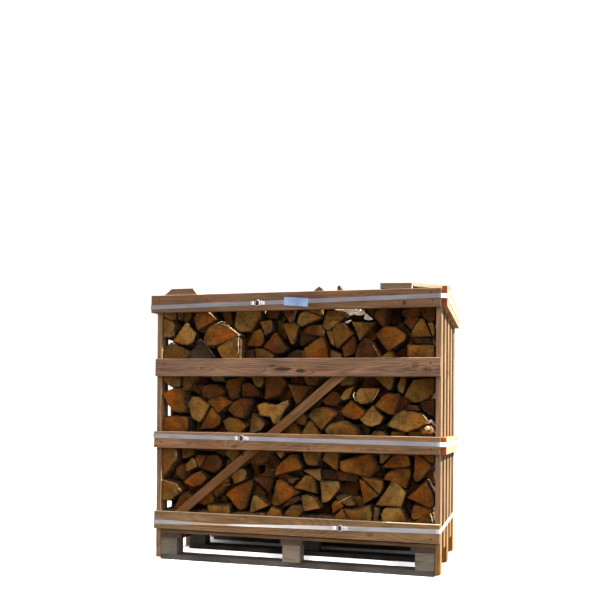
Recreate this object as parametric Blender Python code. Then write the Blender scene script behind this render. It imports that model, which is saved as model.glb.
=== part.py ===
"""A slatted crate of split oak firewood that stands on a wooden pallet.

Metres, +Z up. X runs along the front, Y from the front to the back.
The sizes below are in the crate's own frame: x is 0 at its middle, y is 0 at the front edges of the
side boards and z is 0 near their feet; the pallet reaches a little lower. The crate leans a little to the left.
"""
import math

import bmesh
import bpy
from mathutils import Vector

# Clearance between pieces that touch
GAP = 0.0003

# The lean of the crate, as sideways travel for each metre of height
LEAN = 0.0119

# The pallet
PALLET_LENGTH = 1.2
DEPTH = 0.8
PALLET_FOOT = -0.012
BOTTOM_BOARD = (0.098, 0.022)
BLOCK = (0.078, 0.078, 0.073)
STRINGER = (0.096, 0.023)
DECK_BOARD = (0.095, 0.024)
DECK_TOP = 0.130

# The frame round the logs
BOARD = 0.022
SIDE_BOARD_WIDTH = 0.078
SIDE_BOARD_TOP = 1.158
SIDE_BOARD_SHORT = 0.083
SIDE_BOARD_FOOT = -0.003
SIDE_X = (-0.600, 0.602)
SLATS = {
    "bottom": (-0.623, 0.622, 0.126, 0.204),
    "lower": (-0.626, 0.622, 0.485, 0.557),
    "upper": (-0.621, 0.622, 0.8015, 0.8785),
    "top": (-0.643, 0.622, 1.083, 1.160),
}
SIDE_SLATS = {
    "left_top": (1.085, 1.158),
    "right_middle": (0.485, 0.557),
    "right_top": (1.087, 1.171),
}
BRACE = (1.075, 0.038, 0.016)
BRACE_MIDDLE = (-0.146, 0.506)
BRACE_ANGLE = math.radians(40.5)

# The boards on top: the section of the left one, and the plan of the one over the corner
TOP_LEFT_SECTION = ((-0.5816, 1.1605), (-0.4258, 1.1605), (-0.4467, 1.187), (-0.548, 1.187))
TOP_RIGHT = (0.130, 0.022)
TOP_RIGHT_MIDDLE = (0.441, 1.1735)
TOP_RIGHT_ROLL = math.radians(1.5)
TOP_OVERHANG = 0.018
CORNER_PLAN = ((0.508, 0.008), (0.650, 0.128), (0.602, 0.186), (0.508, 0.107))
CORNER_Z = (1.1722, 1.1902)

# The straps: height at the left and the right of the front, the slat that each crosses, and whether
# it passes over a side slat at the left and at the right
STRAP = (0.018, 0.001)
STRAP_CLEAR = 0.0007
STRAPS = {
    "bottom": (0.1555, 0.1765, "bottom", False, False),
    "middle": (0.5365, 0.5270, "lower", False, True),
    "top": (1.1065, 1.1280, "top", True, True),
}
BUCKLE = (0.052, 0.027, 0.0015)
BUCKLE_X = {"bottom": 0.2126, "middle": -0.2175, "top": -0.150}
LABEL = (0.106, 0.036, 0.0008)
LABEL_MIDDLE = (0.021, 1.116)
LABEL_TILT = math.radians(-4.6)

# The firewood: how far the two rows reach, how much each outline swells where logs press together
ROWS = {"front": (0.018, 0.384), "back": (0.416, 0.782)}
SWELL = 0.007
LOG_SIDE = 0.5985
LOG_FLOOR = 0.1305
LOG_TOP = 1.1900
STAGGER = 0.012
SAME_POINT = 0.00002
SHORT_EDGE = 0.0004

# The courses that the slats hide: bottom, top, sideways shift and height of a ridge, in centimetres
HIDDEN = (
    (12.8, 20.6, 0, 0),
    (47.9, 55.6, 4.0, 0),
    (80.5, 87.8, 2.0, 0),
    (109.8, 111.4, 5.0, 1.8),
)
HIDDEN_REACH = 59.8
HIDDEN_WIDTH = 12.0
HIDDEN_LEAN = 1.6

# Where the crate's own origin lies in the finished object, which stands over the middle of its base
ORIGIN = (0.0087, 0.0017 - DEPTH / 2, -GAP / 2 - PALLET_FOOT)

# The ends of the front row's logs, as (x, z) in centimetres in the crate's frame
LOW = (
    ((-59.8, 34.5), (-56.5, 39.7), (-54, 43.1), (-54.3, 49.1), (-59.8, 49.1)),
    ((-59.8, 24.8), (-56.3, 25), (-51.6, 29), (-54.1, 32.2), (-59.8, 33.8)),
    ((-51.2, 34.3), (-49.7, 34.5), (-48.8, 40.9), (-52.2, 40.9), (-54.1, 38.7), (-53.5, 36.3)),
    ((-48.8, 38), (-43.7, 40.3), (-44.8, 43.7), (-46.2, 44.2), (-49.1, 41.1)),
    ((-50.8, 43.8), (-48.2, 44), (-45.4, 45.9), (-45.2, 50.1), (-51.2, 50.1)),
    ((-42.5, 39.9), (-39.4, 45.3), (-44, 45.5), (-45, 43.7)),
    ((-41.8, 39.4), (-36.6, 37.9), (-32.9, 39.7), (-32.3, 43.5), (-34.9, 46.1), (-39, 45.4)),
    ((-50.1, 33.2), (-46, 31.2), (-41.6, 32.4), (-38.7, 35.7), (-42.4, 38.1), (-46.6, 36.5)),
    ((-54.6, 21.6), (-50.2, 20.8), (-45.8, 27.6), (-48.6, 29), (-51.4, 27.8)),
    ((-27.2, 43.1), (-24.3, 46.1), (-23.3, 50.1), (-28.9, 50.1), (-30.6, 46.1)),
    ((-26.3, 33.2), (-21.7, 35.3), (-20.6, 38.5), (-21.7, 40), (-25.7, 39.7), (-27.6, 36.7)),
    ((-30.2, 28.7), (-24.1, 21.8), (-21.3, 22.8), (-17.4, 34.7), (-18.6, 35.5), (-26.5, 31.6)),
    ((-38.8, 23.5), (-37.6, 16.3), (-29.3, 16.3), (-28.1, 20.8), (-28.5, 23.4)),
    ((-43.5, 24.4), (-40.2, 23.4), (-36.4, 24.6), (-35.5, 27.2), (-36.6, 28.8), (-39.6, 27.8)),
    ((-36.1, 28.8), (-34.9, 27.3), (-30.5, 32.6), (-30.3, 35.3), (-32.1, 35), (-35.7, 31.2)),
    ((-20.7, 44.1), (-17.8, 41.6), (-14, 42.5), (-10.4, 48.7), (-16.4, 49.1), (-19.7, 46.5)),
    ((-7, 46.7), (-5.3, 45.2), (-2.6, 49.7), (-7.4, 50.5)),
    ((-8.1, 37.5), (-2.1, 39.5), (3.5, 40.7), (4.1, 42.1), (1.4, 47), (-1.3, 46.9), (-7.6, 41.1)),
    ((4, 49.7), (4.8, 45.1), (6.5, 42.3), (10.7, 42.6), (13.2, 49.7)),
    ((12.8, 44.9), (19, 40.5), (20.3, 49.7), (14.8, 49.7)),
    ((4.8, 40.2), (11.3, 36.1), (12.5, 36.3), (12.1, 41)),
    ((0.5, 32.6), (10.4, 30.7), (9.5, 36.9), (7.7, 38.2), (5.3, 38.1)),
    ((-2.4, 36.1), (-0.4, 34.1), (1.4, 36.4)),
    ((-17.3, 35.7), (-11.1, 30.5), (-10.1, 30.6), (-9.2, 36.7), (-14.4, 37.1)),
    ((-15, 37.2), (-8.4, 36.9), (-9, 39.2), (-12, 39.4)),
    ((-19.4, 21.2), (-18.1, 21), (-10.8, 24.6), (-16, 28.6), (-17.8, 28.6)),
    ((-9.2, 26.2), (-8.6, 24.4), (-6.2, 24.6), (2.1, 30.5), (-5.4, 36), (-7.1, 35.9)),
    ((-5.1, 23.8), (-2.1, 25), (3.4, 27.7), (1.9, 28.7), (-1.9, 27)),
    ((4.8, 22.7), (12, 24.3), (9.1, 29), (6.1, 30), (3.7, 29.7)),
    ((11.8, 36.2), (12.9, 26.7), (16, 27.7), (20.4, 33.2), (20.4, 36.1)),
    ((13, 36.8), (19.4, 36.9), (18.8, 40.2), (12.9, 40.6)),
    ((-12.4, 19.6), (-11.4, 15.9), (-6, 15.9), (-4.3, 19.8), (-5.4, 22.7), (-9.4, 24.1)),
    ((-3.5, 21.8), (-0.1, 15.9), (3.9, 22.2), (3.8, 25.3), (-0.9, 24.9)),
    ((20.3, 44.5), (20.6, 40.7), (29, 39.1), (32.5, 38.2), (36, 42.5), (33.3, 48.3)),
    ((37.2, 49.9), (37.3, 44), (38.7, 44.5), (43.7, 49.9)),
    ((38.2, 42.7), (44.7, 42.6), (49.7, 43.6), (49.8, 46.5), (46.7, 49.9), (43.9, 48.7)),
    ((39, 37.7), (42.3, 36.9), (48.2, 34.3), (50.1, 40.1), (49.6, 42.4), (44.3, 42), (40.3, 40.3)),
    ((51.8, 49.1), (51.2, 38.5), (52.4, 36.8), (54.8, 38.7), (58.6, 44)),
    ((53.4, 50.1), (56.6, 45.8), (59.4, 44.7), (59.5, 50.1)),
    ((48.7, 30.3), (50.8, 29.5), (58, 26.4), (59.5, 27.6), (59.2, 32.2), (56.4, 37.6)),
    ((50.2, 22.1), (51.9, 21.4), (57.9, 24.1), (58.7, 25.9), (52.2, 27.5), (51, 27)),
    ((52.2, 20.8), (53.2, 16.3), (58.4, 16.9), (58.4, 23.6), (55.2, 22.9)),
    ((28.7, 37.4), (30.7, 27.1), (35.1, 29.8), (36.8, 30.8), (30.6, 36.6)),
    ((29.4, 38.6), (31, 37.1), (37.3, 31.2), (38.7, 34.2), (38.4, 36.8)),
    ((35.4, 26.7), (46.2, 26.5), (48.3, 32.7), (43.9, 37.1), (42.5, 37)),
    ((37.7, 22.8), (40.3, 16.3), (47.3, 16.3), (48.6, 20.8), (45.9, 26.2), (39.5, 25.9)),
    ((22.1, 24.4), (25, 19.8), (28.4, 16.1), (33.5, 18.2), (34.3, 22.8), (33.1, 26.3), (26.8, 24.1)),
    ((34.6, 20.2), (35.7, 17.6), (37.1, 22.8), (36.9, 25.7), (35.1, 26.1)),
    ((18.5, 29.6), (20.4, 27.6), (24, 25.9), (27.1, 26.4), (25.2, 29.1), (22, 30.7)),
    ((17, 26), (17.5, 22.5), (22.1, 25.8), (21, 27.4), (18.6, 28.3)),
    ((17.7, 20.6), (19, 16.3), (23, 15.9), (25.5, 20), (21.2, 24.5)),
    ((19, 40.2), (19.9, 36.6), (27.8, 36.6), (28.7, 38.6), (24.4, 40.1)),
)
MIDDLE = (
    ((-59.6, 82.9), (-59.4, 78.1), (-56.5, 75.6), (-51.9, 75.7), (-51.9, 82.9)),
    ((-59.8, 72.7), (-58.1, 67.7), (-55.3, 64.8), (-52.2, 63.8), (-49.3, 64.6), (-50.8, 72.9),
     (-51.9, 75), (-56.1, 74.8)),
    ((-59.8, 61.8), (-59.7, 55), (-49.2, 54), (-47.9, 58), (-48.2, 62.1), (-54.6, 62.7)),
    ((-51.1, 73.9), (-49, 74), (-46.9, 75.6), (-43.2, 82.9), (-50.4, 82.9)),
    ((-46.9, 76.6), (-46, 74.4), (-43.8, 72.6), (-41.9, 72.2), (-43, 76.6)),
    ((-48.5, 68.3), (-46.4, 62), (-43.8, 60.1), (-42.1, 60), (-39.5, 64.8), (-38.1, 67.7),
     (-43.8, 71.2), (-46.5, 71.5)),
    ((-41.9, 71.3), (-38.6, 70.4), (-31.6, 72.9), (-32.3, 75.1), (-36.2, 76.8), (-41.7, 76.1)),
    ((-39.2, 69.2), (-34, 64.2), (-31.3, 66.6), (-27.8, 68.9), (-33.3, 72.2), (-36.2, 71.8)),
    ((-42.9, 56.8), (-36.2, 57.5), (-33.2, 59.6), (-32.8, 62), (-37.1, 66.8)),
    ((-39.4, 82.9), (-37.2, 78.8), (-31.6, 78.6), (-30.9, 82.9)),
    ((-30.9, 76.3), (-27.9, 69.8), (-25.6, 70.7), (-23.2, 80), (-29.8, 78.9)),
    ((-23.2, 76.9), (-22.8, 71.4), (-15.9, 72.2), (-17, 75.5), (-19.7, 77.6)),
    ((-29.6, 65.4), (-25.7, 62.5), (-22.7, 62.1), (-20, 70.3), (-23.3, 70.6), (-26.9, 69.4)),
    ((-32, 60.9), (-29.4, 55.4), (-25.3, 54), (-20.9, 58.6), (-24.5, 61.8), (-29.1, 62.3)),
    ((-19.7, 82.3), (-17.2, 76.4), (-14.9, 75.3), (-13.5, 76.9), (-13, 82.3)),
    ((-12.5, 81.9), (-12.6, 70.4), (-9.8, 71.2), (-6, 72.6), (-3.1, 77.9), (-5.6, 80.9)),
    ((-17.1, 68.5), (-14, 63.7), (-9.2, 58.8), (-5.4, 62.5), (-2.2, 69.3), (-6, 70.4), (-13.8, 70)),
    ((-19.6, 55), (-14.4, 57), (-12.4, 59.9), (-18.3, 64.4)),
    ((-2.2, 76.8), (0.7, 69.8), (1.6, 68.2), (3.4, 70), (7.4, 76)),
    ((3.8, 81.9), (5.8, 76.8), (9.5, 76.6), (13.7, 81.9)),
    ((12.6, 69.9), (14.1, 68.4), (18, 68.2), (21.3, 70.5), (19.8, 73.4), (16.8, 74.2)),
    ((6.6, 63.4), (12.5, 57.5), (18.5, 64.8), (15.8, 66.5), (12.1, 67.3), (8.3, 65.9)),
    ((3.6, 55.4), (12.2, 55.4), (8.3, 61.5), (6.9, 61.7)),
    ((-4.5, 55.4), (3.2, 55.4), (1.3, 59), (-0.3, 60.7), (-2.2, 59.7)),
    ((1, 62.6), (2.1, 60.1), (4.8, 59.5), (6, 62.8), (3.9, 64.5)),
    ((13.6, 57.8), (15.4, 54), (24.4, 53.4), (28.3, 55.6), (27, 58.8), (21, 61.5), (16.4, 60.3)),
    ((20.5, 71.5), (21.4, 70), (23.9, 71), (26.3, 76.4), (22.8, 75)),
    ((18.9, 78.9), (21, 76.4), (25.3, 77), (26.5, 82.3), (20.4, 82.3)),
    ((26.9, 70.2), (30, 68.6), (33.2, 69.6), (37, 75.4), (28.6, 75.4), (27.2, 73.7)),
    ((20.4, 65.6), (22, 63.7), (26, 62.4), (29.1, 62.9), (31.2, 65.3), (25, 70.3), (22.6, 68)),
    ((28.9, 62.4), (30.6, 60.3), (33.9, 59.5), (37, 60.5), (38.7, 63.2), (34.1, 68.3)),
    ((35.1, 67.9), (40.9, 64.7), (43, 64.5), (45.3, 73), (40.3, 73.3), (37.8, 72)),
    ((33.8, 81.5), (40.3, 75), (41.8, 74.7), (43.4, 81.9)),
    ((44.2, 76.3), (45.5, 73.6), (46.8, 73.4), (48.3, 81.5), (46.3, 81.5)),
    ((47, 72.3), (50.8, 69.6), (54, 69.8), (57.5, 71.8), (59.4, 74.9), (59.5, 79.9), (50.8, 79.1)),
    ((53.4, 69.4), (54.8, 66.5), (57.2, 64.5), (59.4, 64.3), (59.4, 71.2)),
    ((40.4, 59.9), (48.5, 57.3), (57.7, 61.4), (54, 65.3), (46.7, 66.2), (42.7, 64.1)),
    ((47.8, 66.7), (53.2, 66.3), (52.6, 68.1), (48.6, 68.5)),
    ((32.8, 54), (34.3, 51.1), (39.9, 52), (40.4, 55.6), (38.3, 57.7), (34.3, 57.3)),
    ((41.2, 54), (44.3, 51.4), (47.3, 53), (47.8, 57.7), (42.3, 57.5)),
    ((48.7, 57.7), (49.8, 53.5), (54.2, 51.1), (59.5, 53), (59.2, 57.3), (55.2, 57.9)),
    ((52.5, 58.2), (59.1, 57.8), (59.5, 59.5), (57.2, 61.1), (54.8, 60.5)),
)
HIGH = (
    ((-59.8, 107), (-55.7, 104.9), (-54.3, 106.7), (-54.3, 111.7), (-59.8, 111.7)),
    ((-59.8, 106.1), (-59.8, 97.8), (-56.4, 97.8), (-55.2, 100.8), (-55.5, 104.7)),
    ((-53.8, 109.7), (-52.7, 105.4), (-51.3, 106.7), (-50.9, 110.1)),
    ((-51.2, 105.7), (-49.2, 104.1), (-46.9, 106.7), (-46.2, 111.2), (-50.9, 111.2)),
    ((-55.8, 96.1), (-51.6, 94.5), (-48.4, 94.3), (-45.5, 96.2), (-44.3, 99.4), (-49.6, 104)),
    ((-45.9, 105.9), (-44.2, 100.9), (-39.6, 103), (-35.6, 105.7), (-39.3, 109.7), (-43.8, 109.9)),
    ((-41.1, 96.8), (-39.4, 94.1), (-36.2, 93.9), (-31.1, 95.5), (-24.6, 98.5), (-32.3, 103.4),
     (-35.3, 104.2), (-39.3, 101.5)),
    ((-35, 92.8), (-31.7, 86.8), (-24.3, 86.2), (-24.2, 96.8), (-26.7, 98.1)),
    ((-48.7, 89.4), (-45.2, 85.2), (-37.2, 85.6), (-35.6, 88.8), (-42.4, 96.4)),
    ((-59.8, 92.4), (-59.6, 86.8), (-54.1, 85.2), (-49.6, 87.1), (-48.5, 90.8), (-56.5, 95.5)),
    ((-33, 110.1), (-30.7, 103.2), (-28, 102.6), (-28.3, 107.3), (-29.7, 110.5)),
    ((-27, 101.9), (-24.7, 99.7), (-19.3, 99.9), (-14.5, 106.1), (-14.7, 110.7), (-25.7, 110.7)),
    ((-21.2, 93.8), (-15, 93.3), (-13.2, 95.2), (-13.5, 99.2), (-14.8, 101.3), (-18, 99.9)),
    ((-12.9, 110.7), (-12.3, 106), (-8, 105.2), (-6.1, 108.3), (-6.7, 110.7)),
    ((-15.1, 104.1), (-12.6, 98), (-10.3, 99.3), (-9.3, 102.1), (-10, 104.8)),
    ((-6.1, 110.5), (-2.1, 103.8), (-0.7, 103), (1.2, 110.5)),
    ((-5.1, 102.9), (-1.1, 94.1), (0.1, 94.2), (2.3, 101.9), (-0.5, 103.4)),
    ((1.1, 103.1), (2.9, 101.8), (12.4, 105.4), (5.9, 108.4), (2.5, 107.4)),
    ((5.6, 110.7), (6.3, 108.3), (12.7, 106), (12.7, 110.7)),
    ((3.8, 99.8), (5.5, 98.6), (12.8, 97.5), (13.4, 99.8), (12.5, 102.4), (6.9, 102)),
    ((4, 91.8), (4.9, 86.8), (14.1, 85.8), (15.3, 88.6), (13.3, 96.7), (12.1, 97.5)),
    ((2.8, 99.5), (2.8, 93.7), (10.4, 97.2)),
    ((-13.7, 92.9), (-8, 90.1), (-4.4, 90.5), (-2.9, 92.2), (-7.6, 99.1), (-8.6, 99.3)),
    ((-17.5, 92.5), (-16, 85.8), (-9.4, 85.8), (-8.7, 89.4), (-13.8, 92.4)),
    ((-22, 91.7), (-21.3, 85.8), (-17.4, 86.8), (-18, 92.3)),
    ((-2.9, 89.8), (-2.1, 85.8), (4.5, 86.8), (3.7, 91), (0.5, 91.6)),
    ((12.4, 101.8), (13.3, 100.3), (15.4, 99.9), (20.4, 103.8), (23.1, 106.5), (21.8, 108.7),
     (14.6, 108.2)), ((14.2, 99.7), (16.2, 94.3), (17.9, 93), (17.1, 99.5)),
    ((16.7, 100.4), (18.2, 93.3), (19.2, 92.3), (25.7, 98.4), (21.4, 102.8), (19, 103)),
    ((16.1, 91.5), (16, 85.8), (20.4, 86.2), (20.9, 89.7)),
    ((22.9, 106.3), (24.4, 103.9), (30.5, 104.1), (31.4, 109.7), (22.8, 109.7)),
    ((25.1, 103.4), (28.5, 95.5), (35, 102.8)),
    ((34.4, 105.3), (38.6, 101.1), (39.8, 109.1), (35.7, 108.5)),
    ((34.8, 98), (40.5, 90.9), (47.4, 95.4), (47.8, 97.8), (43.3, 100.9), (38.5, 101.1)),
    ((46.6, 103.1), (50, 99.7), (53.1, 104.5), (48.3, 104.8)),
    ((45.6, 107.6), (47.3, 104.8), (52.1, 105), (53.7, 108.4), (49.8, 109.5)),
    ((49.7, 98.4), (50.6, 96.7), (58.1, 96.9), (54.8, 103.8), (53.6, 104.6)),
    ((50.7, 96.2), (51.6, 94.1), (58.9, 93.5), (57.2, 96.1)),
    ((48.3, 93.5), (48.4, 88.8), (50.2, 85.8), (57.2, 85.8), (59.5, 87.8), (59.3, 93.3)),
    ((52.9, 108.9), (55.1, 104.2), (57.2, 102.7), (59.5, 103.3), (59.4, 109.1)),
    ((56.7, 102.4), (58.7, 96.7), (59.5, 97.8), (58.5, 102.4)),
    ((21.1, 92.4), (21.8, 88), (26.2, 90.1), (26.9, 92.2), (26.1, 97.4)),
    ((26.5, 88.8), (27.4, 85.8), (33.3, 85.8), (37, 88.2), (34, 94.3), (30.6, 96.5), (28, 93.5)),
    ((36.9, 87.8), (38.3, 85.4), (42.9, 86), (42.4, 90.3), (40.5, 90.9)),
    ((9.8, 110.9), (12.6, 110.7), (12.4, 116.6), (11.2, 118.1), (10.3, 117.1)),
    ((19.2, 109.7), (20.5, 109.7), (20.7, 116.8), (20, 118.3), (19.5, 117.1)),
)

MATERIALS = {
    "board_wood": ((0.33, 0.19, 0.12), 0.80),
    "pallet_wood": ((0.24, 0.21, 0.18), 0.85),
    "log_wood": ((0.42, 0.24, 0.10), 0.85),
    "strap_plastic": ((0.55, 0.60, 0.66), 0.45),
    "buckle_steel": ((0.75, 0.75, 0.74), 0.30),
    "label_card": ((0.60, 0.70, 0.88), 0.60),
}


def clear_scene():
    for thing in list(bpy.data.objects):
        bpy.data.objects.remove(thing, do_unlink=True)


def new_collection(name, hidden=False):
    group = bpy.data.collections.new(name)
    group.hide_render = hidden
    bpy.context.scene.collection.children.link(group)
    return group


def material(slot):
    made = bpy.data.materials.get(slot) or bpy.data.materials.new(slot)
    made.use_nodes = True
    colour, roughness = MATERIALS[slot]
    shader = made.node_tree.nodes["Principled BSDF"]
    shader.inputs["Base Color"].default_value = (*colour, 1)
    shader.inputs["Roughness"].default_value = roughness
    shader.inputs["Metallic"].default_value = 1.0 if slot == "buckle_steel" else 0.0
    return made


def place(thing, slot, location=(0, 0, 0), rotation=(0, 0, 0)):
    """Sets a new object in its place in the crate and gives it its material."""
    for group in list(thing.users_collection):
        group.objects.unlink(thing)
    CRATE.objects.link(thing)
    thing.location = Vector(location) + Vector(ORIGIN)
    thing.rotation_euler = rotation
    thing.data.materials.clear()
    thing.data.materials.append(material(slot))
    return thing


def leaned(x, z):
    """The place across the crate, once the lean at this height is counted."""
    return x - LEAN * z


def board(name, slot, size, middle, rotation=(0, 0, 0)):
    """A sawn board, a little smaller than its place so that it stays clear of its neighbours."""
    bpy.ops.mesh.primitive_cube_add(size=1)
    piece = bpy.context.active_object
    piece.name = name
    piece.data.name = name
    for vertex in piece.data.vertices:
        vertex.co = [c * (s - GAP) for c, s in zip(vertex.co, size)]
    return place(piece, slot, middle, rotation)


def span(low, high):
    return high - low, (low + high) / 2


def flat_curve(name, outlines, thickness):
    """A flat plate in the local XY plane: the first outline is its edge, any others are holes."""
    curve = bpy.data.curves.new(name, "CURVE")
    curve.dimensions = "2D"
    curve.fill_mode = "BOTH"
    curve.extrude = thickness / 2
    for outline in outlines:
        spline = curve.splines.new("POLY")
        spline.points.add(len(outline) - 1)
        for point, (x, y) in zip(spline.points, outline):
            point.co = (x, y, 0, 1)
        spline.use_cyclic_u = True
    return bpy.data.objects.new(name, curve)


def as_mesh(thing):
    """Turns a curve, or an object with modifiers, into a plain welded mesh in world coordinates."""
    if not thing.users_collection:
        CUTTERS.objects.link(thing)
    bpy.context.view_layer.update()
    graph = bpy.context.evaluated_depsgraph_get()
    mesh = bpy.data.meshes.new_from_object(thing.evaluated_get(graph))
    mesh.transform(thing.matrix_world)
    name = thing.name
    bpy.data.objects.remove(thing, do_unlink=True)
    work = bmesh.new()
    work.from_mesh(mesh)
    bmesh.ops.remove_doubles(work, verts=work.verts, dist=0.00001)
    bmesh.ops.recalc_face_normals(work, faces=work.faces)
    work.to_mesh(mesh)
    work.free()
    mesh.name = name
    return bpy.data.objects.new(name, mesh)


def union(first, others):
    """The first mesh with the others joined to it as one body."""
    group = bpy.data.collections.new(first.name + "_parts")
    CUTTERS.children.link(group)
    CUTTERS.objects.link(first)
    for other in others:
        group.objects.link(other)
        other.display_type = "WIRE"
    join = first.modifiers.new("Join", "BOOLEAN")
    join.operation = "UNION"
    join.solver = "EXACT"
    join.operand_type = "COLLECTION"
    join.collection = group
    whole = as_mesh(first)
    for other in others:
        bpy.data.objects.remove(other, do_unlink=True)
    bpy.data.collections.remove(group)
    return whole


def pallet():
    depth, tall = BOTTOM_BOARD
    for row, edge, inward in (("front", 0, 1), ("middle", DEPTH / 2, 0), ("back", DEPTH, -1)):
        middle = (0, edge + inward * depth / 2, PALLET_FOOT + tall / 2)
        board(f"bottom_board_{row}", "pallet_wood", (PALLET_LENGTH, depth, tall), middle)
        for side, place_x in (("left", -1), ("middle", 0), ("right", 1)):
            x = place_x * (PALLET_LENGTH - BLOCK[0]) / 2
            middle = (x, edge + inward * BLOCK[1] / 2, PALLET_FOOT + tall + BLOCK[2] / 2)
            board(f"block_{row}_{side}", "pallet_wood", BLOCK, middle)
    z = DECK_TOP - DECK_BOARD[1] - STRINGER[1] / 2
    for side, place_x in (("left", -1), ("middle", 0), ("right", 1)):
        x = place_x * (PALLET_LENGTH - STRINGER[0]) / 2
        size = (STRINGER[0], DEPTH, STRINGER[1])
        board(f"stringer_{side}", "pallet_wood", size, (x, DEPTH / 2, z))
    for number in range(5):
        y = DECK_BOARD[0] / 2 + number * (DEPTH - DECK_BOARD[0]) / 4
        size = (PALLET_LENGTH, *DECK_BOARD)
        board(f"deck_board_{number + 1}", "pallet_wood", size, (0, y, DECK_TOP - DECK_BOARD[1] / 2))


def slats():
    for name, (left, right, low, high) in SLATS.items():
        (length, x), (wide, z) = span(left, right), span(low, high)
        for face, y in (("front", -BOARD / 2), ("back", DEPTH + BOARD / 2)):
            size = (length, BOARD, wide)
            board(f"{face}_slat_{name}", "board_wood", size, (leaned(x, z), y, z))


def sides():
    for side, inner in zip(("left", "right"), SIDE_X):
        out = -1 if side == "left" else 1
        for number in range(5):
            y = SIDE_BOARD_WIDTH / 2 + number * (DEPTH - SIDE_BOARD_WIDTH) / 4
            low = SIDE_BOARD_SHORT if number % 2 else SIDE_BOARD_FOOT
            tall, z = span(low, SIDE_BOARD_TOP)
            size = (BOARD, SIDE_BOARD_WIDTH, tall)
            middle = (leaned(inner + out * BOARD / 2, z), y, z)
            board(f"side_board_{side}_{number + 1}", "board_wood", size, middle, (0, -LEAN, 0))
    for name, (low, high) in SIDE_SLATS.items():
        tall, z = span(low, high)
        x = SIDE_X[0] - BOARD * 1.5 if name.startswith("left") else SIDE_X[1] + BOARD * 1.5
        size = (BOARD, DEPTH, tall)
        board(f"side_slat_{name}", "board_wood", size, (leaned(x, z), DEPTH / 2, z), (0, -LEAN, 0))


def braces():
    length, wide, thick = BRACE
    x, z = BRACE_MIDDLE
    for face, y in (("front", thick / 2), ("back", DEPTH - thick / 2)):
        size = (length, thick, wide)
        board(f"brace_{face}", "board_wood", size, (leaned(x, z), y, z), (0, -BRACE_ANGLE, 0))


def top_boards():
    length = DEPTH + 2 * TOP_OVERHANG
    outline = [(leaned(x, z), z) for x, z in TOP_LEFT_SECTION]
    left = flat_curve("top_board_left", [outline], length)
    place(left, "board_wood", (0, DEPTH / 2, 0), (math.pi / 2, 0, 0))
    x, z = TOP_RIGHT_MIDDLE
    size = (TOP_RIGHT[0], length, TOP_RIGHT[1])
    middle = (leaned(x, z), DEPTH / 2, z)
    board("top_board_right", "board_wood", size, middle, (0, TOP_RIGHT_ROLL, 0))
    thick, z = span(*CORNER_Z)
    corner = flat_curve("top_board_corner", [CORNER_PLAN], thick)
    place(corner, "board_wood", (leaned(0, z), 0, z))


def strap_plan(strap, out):
    """The corners of a band round the crate, seen from above, its face this far off the boards."""
    height_left, height_right, slat, over_left, over_right = strap
    left, right = SLATS[slat][:2]
    side_left = SIDE_X[0] - BOARD * (2 if over_left else 1)
    side_right = SIDE_X[1] + BOARD * (2 if over_right else 1)
    out_left = leaned(min(side_left, left), height_left) - out
    out_right = leaned(max(side_right, right), height_right) + out
    left, right = leaned(left, height_left) - out, leaned(right, height_right) + out
    front, back = -BOARD - out, DEPTH + BOARD + out
    start, end = -out, DEPTH + out
    return [
        (left, front), (right, front), (out_right, start), (out_right, end),
        (right, back), (left, back), (out_left, end), (out_left, start),
    ]


def ring_tube(name, points, radius, closed):
    """A round wire along these points."""
    curve = bpy.data.curves.new(name, "CURVE")
    curve.dimensions = "3D"
    curve.bevel_depth = radius
    curve.bevel_resolution = 1
    curve.use_fill_caps = not closed
    spline = curve.splines.new("POLY")
    spline.points.add(len(points) - 1)
    for point, place_now in zip(spline.points, points):
        point.co = (*place_now, 1)
    spline.use_cyclic_u = closed
    return bpy.data.objects.new(name, curve)


def straps():
    wide, thick = STRAP
    for name, strap in STRAPS.items():
        left, right = strap[:2]
        outer = strap_plan(strap, STRAP_CLEAR + thick)
        inner = strap_plan(strap, STRAP_CLEAR)
        band = flat_curve(f"strap_{name}", [outer, inner], wide)
        length = outer[1][0] - outer[0][0]
        slope = math.atan2(right - left, length)
        place(band, "strap_plastic", (0, 0, (left + right) / 2), (0, -slope, 0))
        buckle(name, left + (right - left) * (BUCKLE_X[name] + length / 2) / length)


def buckle(name, z):
    """A wire loop that lies on the band, with a bar across its middle."""
    length, tall, radius = BUCKLE
    a, b, cut = length / 2 - radius, tall / 2 - radius, 0.006
    loop = [
        (-a, -b + cut), (-a, b - cut), (-a + cut, b), (a - cut, b),
        (a, b - cut), (a, -b + cut), (a - cut, -b), (-a + cut, -b),
    ]
    wire = as_mesh(ring_tube(f"buckle_{name}", [(x, 0, z) for x, z in loop], radius, True))
    bar = as_mesh(ring_tube("bar", [(0, 0, -b), (0, 0, b)], radius * 0.9, False))
    whole = union(wire, [bar])
    y = -BOARD - STRAP_CLEAR - STRAP[1] - GAP - radius
    place(whole, "buckle_steel", (leaned(BUCKLE_X[name], z), y, z))
    for face in whole.data.polygons:
        face.use_smooth = True


def label():
    length, tall, thick = LABEL
    x, z = LABEL_MIDDLE
    y = -BOARD - STRAP_CLEAR - STRAP[1] - GAP - thick / 2
    board("label", "label_card", (length, thick, tall), (leaned(x, z), y, z), (0, -LABEL_TILT, 0))


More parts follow.
